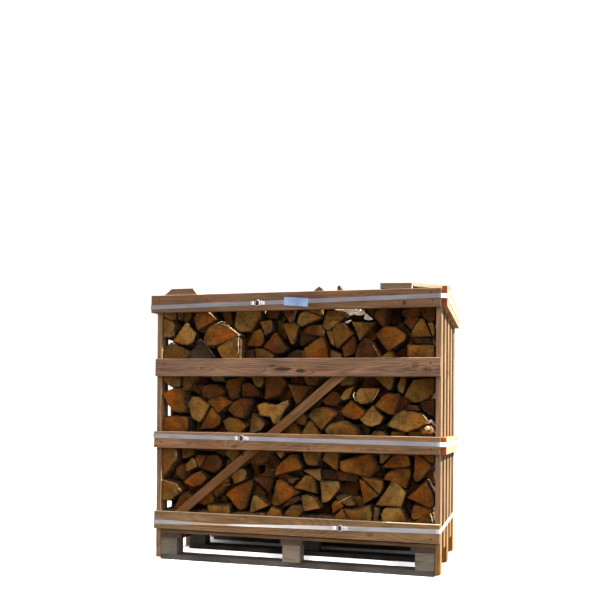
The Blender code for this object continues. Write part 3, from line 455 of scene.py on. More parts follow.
class Nodes:
    """Short calls that add nodes to one material or to the world."""

    def __init__(self, name, owner=None):
        self.owner = owner or bpy.data.materials.new(name)
        self.owner.use_nodes = True
        self.tree = self.owner.node_tree
        self.shader = self.tree.nodes.get("Principled BSDF")

    def add(self, kind, values=(), **settings):
        node = self.tree.nodes.new(f"ShaderNode{kind}")
        for key, value in settings.items():
            setattr(node, key, value)
        for socket, value in dict(values).items():
            self.put(node.inputs[socket], value)
        return node

    def value(self, kind, values=(), output=0, **settings):
        return Value(self, self.add(kind, values, **settings).outputs[output])

    def put(self, socket, value):
        if isinstance(value, Value):
            self.tree.links.new(value.socket, socket)
        else:
            socket.default_value = value

    def place(self):
        return self.value("TexCoord", output="Object")

    def stored(self, name):
        """A vector that the mesh stores for each point."""
        return self.value("Attribute", output="Vector", attribute_name=name)

    def joined(self, *parts):
        return self.value("CombineXYZ", enumerate(parts))

    def split(self, vector):
        return [Value(self, part) for part in self.add("SeparateXYZ", {0: vector}).outputs]

    def facings(self):
        return self.split(self.value("NewGeometry", output="True Normal"))

    def math(self, operation, a, b=0.0):
        return self.value("Math", {0: a, 1: b}, operation=operation)

    def vector(self, operation, a, b=(0, 0, 0)):
        output = "Value" if operation == "LENGTH" else "Vector"
        return self.value("VectorMath", {0: a, 1: b}, output, operation=operation)

    def noise(self, vector, scale, detail=3.0, roughness=0.55):
        values = {"Vector": vector, "Scale": scale, "Detail": detail, "Roughness": roughness}
        return self.value("TexNoise", values)

    def ramp(self, factor, places, colours):
        """A colour ramp with a colour at each place."""
        node = self.add("ValToRGB", {"Fac": factor})
        elements = node.color_ramp.elements
        while len(elements) < len(places):
            elements.new(0.5)
        for element, place, colour in zip(elements, places, colours):
            element.position = place
            element.color = colour
        return Value(self, node.outputs["Color"])

    def levels(self, factor, low, high, start=0.0, end=1.0):
        """The factor stretched from low..high to start..end."""
        return self.value("MapRange", {0: factor, 1: low, 2: high, 3: start, 4: end})

    def mix(self, factor, a, b, blend="MIX"):
        return self.value("Mix", {0: factor, 6: a, 7: b}, 2, data_type="RGBA", blend_type=blend)

    def tint(self, share, colour, by):
        """The colour, of which a share is multiplied by another."""
        return self.mix(share, colour, by, "MULTIPLY")

    def dimmed(self, colour, scale):
        return self.tint(1.0, colour, self.joined(scale, scale, scale))

    def bump(self, height, strength, distance):
        values = {"Height": height, "Strength": strength, "Distance": distance}
        self.put(self.shader.inputs["Normal"], self.value("Bump", values))

    def finish(self, colour, roughness, specular=0.25, metallic=0.0):
        sockets = "Base Color", "Roughness", "Specular IOR Level", "Metallic"
        for socket, value in zip(sockets, (colour, roughness, specular, metallic)):
            self.put(self.shader.inputs[socket], value)
        return self.owner


def shades(colour, *shares):
    """Darker and lighter shades of a colour as it looks on screen."""
    return [rgb(*(min(250, v * share) for v in colour)) for share in shares]


def board_wood(name, box, along, colours, painted_light_faces, grey, knots, rng):
    """Sawn board with its grain along one axis: rings of a wandering trunk, fibres, knots and stains.

    The colours run from dark to light. painted_light_faces is the axis of faces painted paler as painted
    sunlight, and their colour.
    Each knot is (along, across, half length, half height, darkness), in metres from the board's middle.
    """
    n = Nodes(f"wood_{name}")
    place = n.vector("SUBTRACT", n.place(), [(low + high) / 2 for low, high in zip(*box)])
    if name.startswith("brace"):
        place = n.value("Mapping", {"Vector": place, "Rotation": (0, BRACE_SLOPE, 0)})
    parts = n.split(place)
    run, up, deep = (parts[i] for i in {"X": (0, 2, 1), "Y": (1, 2, 0), "Z": (2, 0, 1)}[along])
    seed = rng.uniform(0, 60)
    wander = {"Vector": n.joined(run, seed), "Scale": 1.7, "Detail": 1.0}
    drift = n.split(n.value("TexNoise", wander, "Color"))
    height = up + rng.uniform(-0.02, 0.02) + n.levels(drift[0], 0.3, 0.7, -0.035, 0.035)
    depth = deep + rng.uniform(-0.05, -0.02) + n.levels(drift[1], 0.3, 0.7, -0.02, 0.03)
    fine = n.joined(run * 2.2, up * 34.0, deep * 34.0 + seed)
    ragged = n.noise(fine, 1.6, 3.0, 0.6)
    radius = n.vector("LENGTH", n.joined(height, depth)) + ragged * 0.006
    stain = 0.0
    for middle, across, half, tall, darkness in knots:
        distance = n.vector("LENGTH", n.joined((run - middle) / half, (up - across) / tall))
        distance = distance + n.levels(ragged, 0.3, 0.7, -0.25, 0.25)
        radius = radius - n.levels(distance, 0.6, 4.0, 0.011, 0.0)
        stain = n.math("MAXIMUM", n.levels(distance, 1.25, 0.75) * darkness, stain)
    rings = n.math("POWER", n.levels(n.math("SINE", radius * 820.0), -1.0, 1.0), 1.3)
    fibre = n.noise(n.vector("MULTIPLY", fine, (1.6, 5.0, 5.0)), 1.5, 4.0, 0.65)
    broad = n.noise(n.joined(run * 3.0, up * 16.0, seed), 1.6, 3.0)
    value = rings * -OWN_FIGURE.get(name, FIGURE) + fibre * 0.75 + broad * 0.55
    places = (0.36, 0.60, 0.84)
    colour = n.ramp(value, places, colours)
    warm = n.noise(n.vector("ADD", place, (seed, 0, 0)), 7.0, 3.0)
    colour = n.tint(n.levels(warm, 0.45, 0.7, 0.0, 0.55), colour, (1.10, 0.92, 0.78, 1))
    # Faces that look along that axis are painted paler: painted sunlight on them
    axis, painted_light_colour = painted_light_faces
    facings = dict(zip("XYZ", n.facings()))
    facing = n.math("ABSOLUTE", facings[axis]) if axis == "X" else facings[axis]
    pale = n.ramp(value, places, shades(painted_light_colour, 0.74, 1.0, 1.14))
    colour = n.mix(n.levels(facing, 0.3, 0.6), colour, pale)
    if name.startswith("side_slat"):
        colour = n.tint(n.levels(n.math("ABSOLUTE", facings[along]), 0.3, 0.6), colour, END_GRAIN)
    # The batten is painted darker along its lower part and lighter along its upper part: painted shade and
    # painted light
    if name == "brace_front":
        colour = n.tint(1.0, colour, n.mix(n.levels(run, 0.19, 0.25), BRACE_SHADED, BRACE_LIT))
    if name.startswith("side_board_right"):
        colour = n.tint(n.levels(run, -0.38, -0.54), colour, FOOT_TINT)
    if knots:
        colour = n.mix(stain, colour, [c * 0.30 for c in colours[0][:3]] + [1])
    if name == "deck_board_1":
        colour = n.mix(n.levels(up, 0.0002, 0.0030), colour, DECK_SHADOW)
    if grey:
        wash = n.noise(n.vector("ADD", place, (0, seed, 0)), 5.0, 4.0)
        colour = n.mix(n.levels(wash, 0.35, 0.7, 0.0, grey), colour, WEATHERED)
    n.bump(value - stain * 0.5 if knots else value, 0.45, 0.0015)
    return n.finish(colour, n.levels(fibre, 0.2, 0.8, 0.92, 0.75), 0.2)


def log_end():
    """The sawn end of an oak log: brown heart, paler sapwood, rings, rays, dry cracks, a rim darkened as
    painted shade, and painted light and shade across it.
    """
    n = Nodes("log_end")
    ring, tone, wood = (n.stored(name) for name in ("ring", "tone", "wood"))
    rim, reach, painted_light_slant = n.split(n.stored("rim"))
    chance = n.split(tone)[0]
    place = n.vector("ADD", n.place(), tone)
    radius = n.vector("LENGTH", ring) + n.noise(n.vector("ADD", ring, tone), 22.0, 3.0) * 0.014
    angle = n.math("ARCTAN2", *n.split(ring)[:2])
    rings = n.levels(n.math("SINE", radius * 1500.0), -1, 1)
    slow = n.noise(n.joined(radius * 70.0, chance), 3.0, 2.0)
    rays = n.noise(n.joined(angle * 16.0, radius * 14.0, chance), 1.4, 3.0)
    patch = n.noise(place, 26.0, 4.0, 0.62)
    broad = n.noise(n.vector("ADD", place, (3, 7, 1)), 11.0, 2.0)
    value = rings * 0.10 + rays * 0.30 + slow * 0.34 + patch * 0.62 + broad * 0.50
    colour = n.dimmed(wood, n.levels(value, 0.66, 1.20, 0.20, 1.86))
    reach = reach + n.levels(patch, 0.3, 0.7, -0.14, 0.14)
    heart = n.levels(reach, 0.74, 0.52) * n.levels(broad, 0.35, 0.6, 0.25, 0.85)
    colour = n.tint(heart, colour, (1.26, 0.88, 0.46, 1))
    sap = n.levels(reach, 0.78, 0.95) * n.levels(broad, 0.65, 0.4, 0.2, 0.8)
    colour = n.tint(sap, colour, (1.16, 1.22, 1.10, 1))
    grey = n.noise(n.vector("ADD", n.vector("MULTIPLY", place, (1.3, 1, 0.8)), (9, 2, 4)), 15.0, 3.0)
    colour = n.tint(n.levels(grey, 0.55, 0.72, 0.0, 0.65), colour, (0.62, 0.74, 0.90, 1))
    # Each end is painted lighter on one side and darker on the other, in a direction drawn at random: painted
    # light and shade
    colour = n.dimmed(colour, n.levels(painted_light_slant, -0.9, 0.9, 0.62, 1.28))
    crack = n.noise(n.joined(angle * 4.0, radius * 7.0, chance * 40.0), 2.2, 2.0, 0.4)
    crack = n.levels(n.math("ABSOLUTE", crack - 0.5), 0.010, 0.0)
    colour = n.mix(crack * 0.6, colour, rgb(34, 20, 10))
    # The outermost rim is darkened: painted shade between the logs
    edge = rim + n.levels(patch, 0.3, 0.7, -0.05, 0.05)
    colour = n.tint(n.levels(edge, 0.86, 1.0, 0.0, 0.72), colour, (0.38, 0.33, 0.32, 1))
    saw = n.noise(n.vector("MULTIPLY", place, (30, 1, 260)), 1.0, 2.0)
    n.bump(value * 1.2 + saw * 0.5 - crack * 1.5, 0.7, 0.0025)
    return n.finish(colour, 0.88, 0.10)


def log_side(name, colours, stretch, scale, relief):
    """The long sides of a log: split wood with its fibres along Y, or bark."""
    n = Nodes(name)
    tone = n.stored("tone")
    place = n.vector("ADD", n.place(), tone)
    fibre = n.noise(n.vector("MULTIPLY", place, (1, stretch, 1)), scale, 4.0, 0.65)
    value = fibre * 0.7 + n.noise(place, 9.0, 3.0) * 0.35
    n.bump(value, 0.7, relief)
    return n.finish(n.dimmed(n.ramp(value, (0.35, 0.55, 0.72), colours), n.split(tone)[1]), 0.92, 0.15)


def strap_material(name, colour, bright=False):
    """Woven band: ribs, a weft, painted sunlight at the right corner; if asked, painted shade further left
    and a painted highlight at the front's middle, where it leans out.
    """
    n = Nodes(name)
    place = n.place()
    x, y, z = n.split(place)
    patch = n.noise(n.vector("MULTIPLY", place, (6, 6, 40)), 1.2, 3.0)
    colour = n.ramp(patch, (0.3, 0.55, 0.8), shades(colour, 0.88, 1.0, 1.12))
    if bright:
        # Painted shade on the band further left, and a painted highlight at the front's middle, where it
        # leans out
        colour = n.mix(n.levels(n.math("ABSOLUTE", x + 0.35), 0.15, 0.06), colour, rgb(150, 128, 106))
        colour = n.mix(n.levels(n.math("ABSOLUTE", x + 0.02), 0.26, 0.17), colour, rgb(192, 188, 186))
    # Faces turned to the right, and the band beyond the right corner, are painted pale: painted sunlight
    corner = n.math("MAXIMUM", n.levels(n.facings()[0], 0.3, 0.6), n.levels(x, 0.610, 0.628))
    colour = n.mix(corner, colour, rgb(222, 218, 212))
    n.bump(n.math("SINE", (x + y) * 2600.0) + n.math("SINE", z * 3800.0) * 0.7, 0.25, 0.0005)
    return n.finish(colour, 0.5, 0.4)


def label_material():
    """A blank film label, a little cloudy."""
    n = Nodes("label_card")
    cloud = n.noise(n.place(), 26.0, 3.0)
    n.bump(cloud, 0.3, 0.002)
    colours = rgb(112, 138, 186), rgb(134, 160, 202), rgb(164, 181, 212)
    return n.finish(n.ramp(cloud, (0.3, 0.55, 0.8), colours), 0.35, 0.5)


def metal(name, scale, places, colours, roughness, metallic):
    """Metal that is worn or rusty in patches."""
    n = Nodes(name)
    worn = n.noise(n.place(), scale, 3.0)
    return n.finish(n.ramp(worn, places, colours), n.levels(worn, 0.3, 0.7, *roughness), metallic=metallic)


def scrap_material():
    """Torn bark and splinters: the piece's own colour, streaked and spotted."""
    n = Nodes("scrap_wood")
    streak = n.noise(n.vector("MULTIPLY", n.place(), (50, 34, 100)), 1.4, 4.0, 0.65)
    n.bump(streak, 0.5, 0.001)
    return n.finish(n.dimmed(n.stored("wood"), n.levels(streak, 0.36, 0.62, 0.40, 1.25)), 0.85, 0.15)


def leaned(x, z):
    return x - LEAN * z


def at(x, z):
    """A point of the front, given in centimetres, in the crate's leaning plane."""
    return Vector((leaned(x / 100, z / 100), z / 100))


def corners_of(row):
    """The corners, in centimetres, of a row that holds x and z in turn in millimetres."""
    return [(x / 10, z / 10) for x, z in zip(row[::2], row[1::2])]


def soft_path(points, step):
    """Points about step apart along a path."""
    path = []
    for here, after in zip(points, points[1:]):
        pieces = max(1, round((after - here).length / step))
        path += [here.lerp(after, k / pieces) for k in range(pieces)]
    return path + [points[-1]]


def soft_loop(points, step):
    return soft_path(points + points[:1], step)[:-1]


def anticlockwise(outline):
    area = sum(a[0] * b[1] - a[1] * b[0] for a, b in zip(outline, outline[1:] + outline[:1]))
    return outline[::-1] if area < 0 else outline


def bridge(a, b, count, turned=False):
    """Faces between two rings of count points that start at a and b. Turned ones look the other way."""
    faces = []
    for i in range(count):
        j = (i + 1) % count
        faces.append((a + i, b + i, b + j, a + j) if turned else (a + i, a + j, b + j, b + i))
    return faces


def placed(name, data):
    """A new object in the scene."""
    thing = bpy.data.objects.new(name, data)
    bpy.context.scene.collection.objects.link(thing)
    return thing


def mesh_object(name, points, faces, columns, materials):
    """A mesh of points in the crate's own frame. columns are what each point stores for the materials."""
    mesh = bpy.data.meshes.new(name)
    mesh.from_pydata((np.array(points) + np.array(ORIGIN)).tolist(), [], faces)
    for label, values in columns.items():
        layer = mesh.attributes.new(label, "FLOAT_VECTOR", "POINT")
        layer.data.foreach_set("vector", np.array(values, np.float32).ravel())
    for material in materials:
        mesh.materials.append(material)
    return placed(name, mesh)


class Shape:
    """Gathers small closed pieces into one mesh, each with its own colour."""

    def __init__(self):
        self.points, self.faces, self.colours = [], [], []

    def put(self, points, faces, colour):
        first = len(self.points)
        self.points += points
        self.faces += [tuple(first + k for k in face) for face in faces]
        self.colours += [colour[:3]] * len(points)

    def tube(self, path, y, radii, colour, deep=1.0, sides=8, rough=0.0):
        """A round strand along a path in the XZ plane, in metres, with a radius for each point."""
        last = len(path) - 1
        points, faces = [], []
        for i, here in enumerate(path):
            along = (path[min(i + 1, last)] - path[max(i - 1, 0)]).normalized()
            side = Vector((along.y, -along.x))
            for k in range(sides):
                angle = math.tau * k / sides
                radius = radii[i] * (1 + rough * noise.noise(Vector((here.x * 400, here.y * 400, k * 1.7))))
                spot = here + side * math.cos(angle) * radius
                points.append((spot.x, y + math.sin(angle) * radius * deep, spot.y))
        for i in range(last):
            faces += bridge(i * sides, (i + 1) * sides, sides)
        faces += [tuple(reversed(range(sides))), tuple(range(last * sides, (last + 1) * sides))]
        self.put(points, faces, colour)

    def flake(self, outline, y, bulge, colour, thick=0.0015):
        """A thin curved scrap. outline lies in the XZ plane in metres, and its middle bulges forward."""
        dense = soft_loop(anticlockwise(outline), 0.003)
        middle = sum(dense, Vector((0, 0))) / len(dense)
        count = len(dense)
        points, faces = [], []
        scales = (1.0, 0.75, 0.45, 0.15)
        for layer in (0, 1):
            base = len(points)
            for scale in scales:
                for spot in dense:
                    torn = noise.noise(Vector((spot.x * 300, spot.y * 300, 5))) * 0.0016 * (scale == 1.0)
                    here = middle + (spot - middle) * scale * (1 + torn / 0.02)
                    wave = noise.noise(Vector((here.x * 90, here.y * 90, 9))) * 0.0015
                    points.append((here.x, y - bulge * (1 - scale * scale) + wave + layer * thick, here.y))
            for first in range(base, len(points) - count, count):
                second = first + count
                faces += bridge(second, first, count) if layer else bridge(first, second, count)
            last = tuple(range(len(points) - count, len(points)))
            faces.append(last[::-1] if layer else last)
        faces += bridge(0, len(scales) * count, count, True)
        self.put(points, faces, colour)

    def block(self, profile, z_low, z_high, colour):
        """An outline in the XY plane, in metres, drawn up from one height to another."""
        profile = anticlockwise(profile)
        count = len(profile)
        points = [(x, y, z) for z in (z_low, z_high) for x, y in profile]
        faces = [tuple(reversed(range(count))), tuple(range(count, 2 * count)), *bridge(0, count, count)]
        self.put(points, faces, colour)

    def object(self, name, material, slot, smooth=False):
        thing = mesh_object(name, self.points, self.faces, {"wood": self.colours}, [material])
        thing.data.polygons.foreach_set("use_smooth", [smooth] * len(self.faces))
        thing.data.update()
        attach(thing, "root")
        return thing


def scraps():
    """Curls of bark, torn edges and splinters that stand out from the firewood's front, many painted pale as
    painted highlights and sunlight.
    """
    shape = Shape()
    for row, depth, bulge, colour in FLAKES:
        shape.flake([at(x, z) for x, z in corners_of(row)], depth, bulge, colour)
    for row, depth, radius, colour in EDGES:
        path = soft_path([at(x, z) for x, z in corners_of(row)], 0.004)
        end = len(path) - 0.2
        shares = [math.sin(math.pi * min(1, (k + 0.4) / end)) for k in range(len(path))]
        radii = [radius * (0.25 + 0.75 * share) for share in shares]
        shape.tube(path, depth, radii, colour, deep=1.6, sides=6, rough=0.8)
    shape.object("bark_and_splinters", SCRAP, "log_wood")


def nails():
    """Nail heads where the slats cross the uprights."""
    shape = Shape()
    rng = random.Random(SEEDS["nails"])
    sides = 10
    steel = metal("nail_steel", 300.0, (0.35, 0.7), (rgb(30, 27, 28), rgb(72, 60, 52)), (0.7, 0.7), 0.3)
    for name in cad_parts:
        if not name.startswith("front_slat"):
            continue
        low, high = (Vector(corner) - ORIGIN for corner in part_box(name))
        for x in (low.x + NAIL_INSETS[0], high.x - NAIL_INSETS[1]):
            for share in NAIL_HEIGHTS:
                z = low.z + (high.z - low.z) * (share + rng.uniform(-0.06, 0.06))
                middle, size = x + rng.uniform(-0.008, 0.008), rng.uniform(0.0032, 0.0042)
                points = []
                for scale, rise in ((1.0, 0.0003), (0.6, 0.0009), (1.0, -0.004)):
                    for k in range(sides):
                        angle = math.tau * k / sides
                        across, up = size * math.cos(angle) * scale, size * math.sin(angle) * scale
                        points.append((middle + across, -BOARD - rise, z + up))
                faces = [tuple(range(sides, 2 * sides))]
                faces += bridge(0, sides, sides) + bridge(2 * sides, 0, sides)
                faces.append(tuple(reversed(range(2 * sides, 3 * sides))))
                shape.put(points, faces, (0.05, 0.045, 0.04))
    shape.object("nails", steel, "board_wood")


def buckles():
    """Wire buckles: a fold of the band, a dark sheet in the gap as painted shade, the wire, and the band's
    doubled end; the fold and the end are painted pale, as painted highlights.
    """
    face = -BOARD - 0.0017
    for level, (fold_low, fold_high, gap_low, gap_high) in BUCKLES.items():
        low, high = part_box(f"buckle_{level}")
        z = (low[2] + high[2]) / 2 - ORIGIN.z

        def spot(x, share=0):
            """A point at x centimetres, up or down by a share of the buckle's reach."""
            return Vector((leaned(x / 100, z), z + BUCKLE_REACH * share))

        bend = ((-0.5, 1), (0.2, 0.96), (0.6, 0.55), (0.6, -0.7), (0.2, -0.95))
        arc = [spot(gap_high + x, share) for x, share in bend]
        back = [spot(gap_low + x, share) for x, share in ((0.1, -0.9), (-0.1, -0.5), (-0.1, 0.6))]
        back = [arc[-1], *back, arc[0]]
        far = [spot(gap_high + 1.5, share) for share in (0.8, -0.8)]
        wires = Shape()
        for path, radius in ((arc, 0.0016), (back, 0.0007)):
            path = soft_path(path, 0.002)
            wires.tube(path, face - 0.0016, [radius] * len(path), STEEL)
        wires.tube(far, face - 0.0008, [0.0006] * 2, STEEL)
        piece = wires.object(f"wire_{level}", WIRE, "buckle_steel", True)
        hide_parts(f"buckle_{level}")
        ends = Shape()
        # The fold and the band's doubled end are painted paler than the bands: painted highlights
        folds = (fold_low, fold_high, 0.0030, 0.0080), (gap_high + 0.5, gap_high + 2.9, 0.0010, 0.0078)
        for first, last, deep, tall in folds:
            start, stop = spot(first).x, spot(last).x
            swells = [max(0, math.sin(math.pi * k / 10)) ** 0.6 for k in range(11)]
            run = [start + (stop - start) * k / 10 for k in range(11)]
            profile = [(x, face - deep * swell) for x, swell in zip(run, swells)]
            ends.block(profile, z - tall, z + tall, STEEL)
        ends.object(f"band_end_highlight_{level}", BAND_END_HIGHLIGHT, "strap_plastic")
        # A dark sheet across the buckle's gap: painted shade
        gap = Shape()
        first, last = spot(gap_low).x, spot(gap_high).x
        front, rear = face - 0.0004, face + 0.0004
        profile = [(first, rear), (last, rear), (last, front), (first, front)]
        gap.block(profile, z - 0.0108, z + 0.0108, rgb(62, 50, 48))
        gap.object(f"buckle_gap_shade_{level}", SCRAP, "buckle_steel")


def rounded_outline(corners, pith, reach):
    """Closely spaced points round the outline. Corners on the bark side are rounded, the rest nipped."""
    path = []
    for i, here in enumerate(corners):
        back, on = corners[i - 1] - here, corners[(i + 1) % len(corners)] - here
        ray = (here - pith).normalized()
        outward = [Vector((edge.y, -edge.x)).normalized().dot(ray) for edge in (-back, on)]
        bark = (here - pith).length > reach * 0.7 and min(outward) > 0.35
        limit, bends = (0.009, 3) if bark else (0.0025, 1)
        start, end = (here + edge.normalized() * min(limit, edge.length * 0.45) for edge in (back, on))
        for k in range(bends + 1):
            t = k / bends
            path.append(start * (1 - t) ** 2 + here * 2 * t * (1 - t) + end * t * t)
    return soft_loop(path, OUTLINE_STEP)


def find_pith(corners):
    """The sharpest corner, where a split log had its heart, and how far the outline reaches from it."""
    def sharpness(i):
        return (corners[i - 1] - corners[i]).angle(corners[(i + 1) % len(corners)] - corners[i])

    sharp = corners[min(range(len(corners)), key=sharpness)]
    middle = sum(corners, Vector((0, 0))) / len(corners)
    pith = sharp + (sharp - middle) * 0.06
    return pith, max((c - pith).length for c in corners)


def within(spot, y):
    """A point of the firewood, kept inside the crate."""
    z = min(max(spot.y, LOG_FLOOR), LOG_TOP)
    x = min(max(spot.x + LEAN * z, -LOG_SIDE), LOG_SIDE)
    return leaned(x, z), y, z


# The three faces of a log, in the order of their materials
SAWN, SPLIT, BARK = range(3)


class Pile:
    """Gathers logs into one mesh."""

    def __init__(self):
        self.points, self.faces, self.kinds = [], [], []
        self.columns = {"ring": [], "tone": [], "wood": [], "rim": []}

    def log(self, corners, near, far, rng, wood, bright, swell, ragged, sink):
        """One log. corners lie in the XZ plane in metres, near is its sawn end that shows."""
        middle = sum(corners, Vector((0, 0))) / len(corners)
        corners = anticlockwise(corners)
        pith, reach = find_pith(corners)
        rim = rounded_outline(corners, pith, reach)
        count = len(rim)
        normals = []
        for i in range(count):
            along = (rim[(i + 1) % count] - rim[i - 1]).normalized()
            normals.append(Vector((along.y, -along.x)))
        bark = []
        for here, out in zip(rim, normals):
            ray = here - pith
            bark.append(ray.length > reach * BARK_REACH and ray.normalized().dot(out) > BARK_FACING)
        tilt = Vector((rng.uniform(-LOG_TILT, LOG_TILT), rng.uniform(-LOG_TILT, LOG_TILT)))
        seed = Vector((rng.uniform(0, 90), rng.uniform(0, 90), 0))
        turn = rng.uniform(0, math.tau)
        across = Vector((math.cos(turn), math.sin(turn)))
        drift = Vector((rng.uniform(-LOG_DRIFT, LOG_DRIFT), rng.uniform(-LOG_DRIFT, LOG_DRIFT)))
        size = max((c - middle).length for c in corners)
        length = abs(far - near)
        steps = (*LOG_STEPS, length - 0.002, length)
        final = len(steps) - 1
        first = len(self.points)

        def put(point, spot, scale, grain):
            """Adds a point, and what the materials need to know of its place in the log's end."""
            self.points.append(point)
            # The last of these facts says where the point lies along a random direction across the end: it
            # sets the painted light and shade there
            place = scale, min(1.2, (spot - pith).length / reach), (spot - middle).dot(across) / size
            facts = (*(spot - pith), grain), (seed.x, bright, 0), [c * bright for c in wood[:3]], place
            for column, fact in zip(self.columns.values(), facts):
                column.append(fact)

        for s, depth in enumerate(steps):
            shrink = 0.992 if s in (0, final) else 1.0
            torn = ragged if depth < 0.03 else 1.0
            grown = swell * min(1, max(0, depth - 0.004) / 0.05) * min(1, (length - depth) / 0.02)
            for here, out, barky in zip(rim, normals, bark):
                rough, coarse = (0.0026, 40) if barky else (0.0018, 7)
                fine = noise.noise(Vector((here.x * 130, depth * coarse, here.y * 130)) + seed)
                broad = noise.noise(Vector((here.x * 34, depth * 9, here.y * 34)) + seed)
                spot = middle + (here - middle) * shrink + drift * (depth / length)
                spot = spot + out * (fine * rough * torn + broad * 0.0026 * (1 if s else 0.8) + grown)
                spot.y -= sink * depth
                y = near + math.copysign(depth, far - near)
                if s < 2:
                    y += (here - middle).dot(tilt) + fine * 0.002 * (ragged - 1)
                put(within(spot, y), here, 1, depth * 0.2)
        for s in range(final):
            self.faces += bridge(first + s * count, first + (s + 1) * count, count, far > near)
            self.kinds += [BARK if bark[i] and bark[(i + 1) % count] else SPLIT for i in range(count)]
        for s, forward in ((0, far > near), (final, far < near)):
            ring = first + s * count
            level = sum(point[1] for point in self.points[ring:ring + count]) / count
            sunk = Vector((0, sink * steps[s]))
            for scale in (0.93, 0.72, 0.4):
                inner = len(self.points)
                for here in rim:
                    spot = middle + (here - middle) * scale
                    bumpy = noise.noise(Vector((spot.x * 60, s, spot.y * 60)) + seed) * 0.0016
                    y = level + bumpy + (spot - middle).dot(tilt) * (s == 0)
                    put(within(spot - sunk, y), spot, scale, 0)
                self.faces += bridge(ring, inner, count) if forward else bridge(inner, ring, count)
                ring = inner
            centre = len(self.points)
            put(within(middle - sunk, level), middle, 0, 0)
            for i in range(count):
                pair = ring + i, ring + (i + 1) % count
                self.faces.append((*(pair if forward else pair[::-1]), centre))
            self.kinds += [SAWN] * (4 * count)

    def object(self, name, materials):
        thing = mesh_object(name, self.points, self.faces, self.columns, materials)
        thing.data.polygons.foreach_set("material_index", self.kinds)
        thing.data.polygons.foreach_set("use_smooth", [kind != SAWN for kind in self.kinds])
        thing.data.update()
        return thing


def hidden_course(low, high, shift, peak):
    """The logs of one course behind a slat, as pieces that lean left and right in turn."""
    count = round(2 * HIDDEN_REACH / HIDDEN_WIDTH)
    edges = [-HIDDEN_REACH + shift + number * HIDDEN_WIDTH for number in range(1, count)]
    edges = [-HIDDEN_REACH, *edges, HIDDEN_REACH]
    pieces = []
    for number, (start, end) in enumerate(zip(edges, edges[1:])):
        lean = HIDDEN_LEAN * (-1) ** number
        first = lean if number else 0
        last = lean if number < len(edges) - 2 else 0
        ridge = ((start + end) / 2 - lean, high + peak * (1 + number % 3 / 2))
        corners = [(start + first, low), (end - last, low), (end + last, high), (start - first, high)]
        pieces.append(corners[:3] + [ridge] + corners[3:] if peak else corners)
    return pieces


def recessed_outlines(rng):
    """Split pieces, each wider than its gap, as outlines in centimetres."""
    outlines = []
    for x, z, half in RECESSED:
        turn = rng.uniform(0, math.tau)
        sides = rng.choice((3, 4, 5))
        reach = (half / 10 + 1.0) * {3: 1.5, 4: 1.25, 5: 1.15}[sides]
        angles = [turn + math.tau * (k + rng.uniform(-0.12, 0.12)) / sides for k in range(sides)]
        corners = [(x / 10 + reach * math.cos(a), z / 10 + reach * math.sin(a)) for a in angles]
        outlines.append([(min(59.5, max(-59.5, across)), min(115.0, up)) for across, up in corners])
    return outlines


def wood_of(course, number, rng):
    if course not in KINDS:
        return WOOD[rng.choice(UNSEEN_KINDS)]
    kinds = [kind for kind, members in KINDS[course].items() if number in members]
    return WOOD[kinds[0] if kinds else OTHER_KIND]


def moved_to(depth, x, z):
    """A corner of an outline, in centimetres, moved along the eye's ray to another depth."""
    here = at(x, z)
    if abs(x) >= EDGE_X or z <= EDGE_Z:
        return here
    x, y, z = EYE
    eye = Vector((x, z))
    return eye + (here - eye) * ((depth - y) / (OUTLINE_PLANE - y))


def near_end(course, number, outline, rng):
    """How deep the sawn end of a front log lies."""
    if (course, number) in DEPTHS:
        return DEPTHS[course, number]
    beside_upright = course in KINDS and min(x for x, z in outline) < LEFT_UPRIGHT
    return rng.uniform(*(LEFT_ENDS if beside_upright else FRONT_ENDS))


def firewood():
    """Both rows of logs, each in a few courses that stand for the row's solid."""
    split = rgb(46, 29, 15), rgb(88, 62, 38), rgb(140, 112, 78)
    bark = rgb(24, 18, 14), rgb(50, 39, 30), rgb(92, 77, 62)
    materials = [
        log_end(),
        log_side("log_split", split, 0.10, 90.0, 0.004),
        log_side("log_bark", bark, 0.6, 45.0, 0.008),
    ]
    seen = {"low": LOW, "middle": MIDDLE, "high": HIGH}
    courses = {course: [corners_of(row) for row in rows] for course, rows in seen.items()}
    courses["hidden"] = [outline for course in HIDDEN for outline in hidden_course(*course)]
    courses["recessed"] = recessed_outlines(random.Random(SEEDS["gaps"]))
    for row, (near, far) in ROWS.items():
        rng = random.Random(SEEDS[row])
        for course, outlines in courses.items():
            pile = Pile()
            deep = course == "recessed"
            for number, outline in enumerate(outlines):
                wood = wood_of(course, number, rng)
                bright = rng.uniform(*BRIGHT)
                end = rng.uniform(0.06, 0.1) if deep else rng.uniform(0.0, 0.02)
                if row == "front":
                    first = near + rng.uniform(*RECESS) if deep else near_end(course, number, outline, rng)
                    corners = [moved_to(first, x, z) for x, z in outline]
                    last = far - end
                else:
                    corners = [at(-x, z) for x, z in outline]
                    first = far - rng.uniform(*(RECESS if deep else BACK_ENDS))
                    last = near + end
                torn = RAGGED.get((course, number), 1.0)
                swell, sink = (0.002, 0.16) if (course, number) in TIPS else (0.007, 0.0)
                pile.log(corners, first, last, rng, wood, bright, swell, torn, sink)
            piece = pile.object(f"firewood_{row}_{course}", materials)
            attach(piece, "root")
            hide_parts(f"logs_{row}")


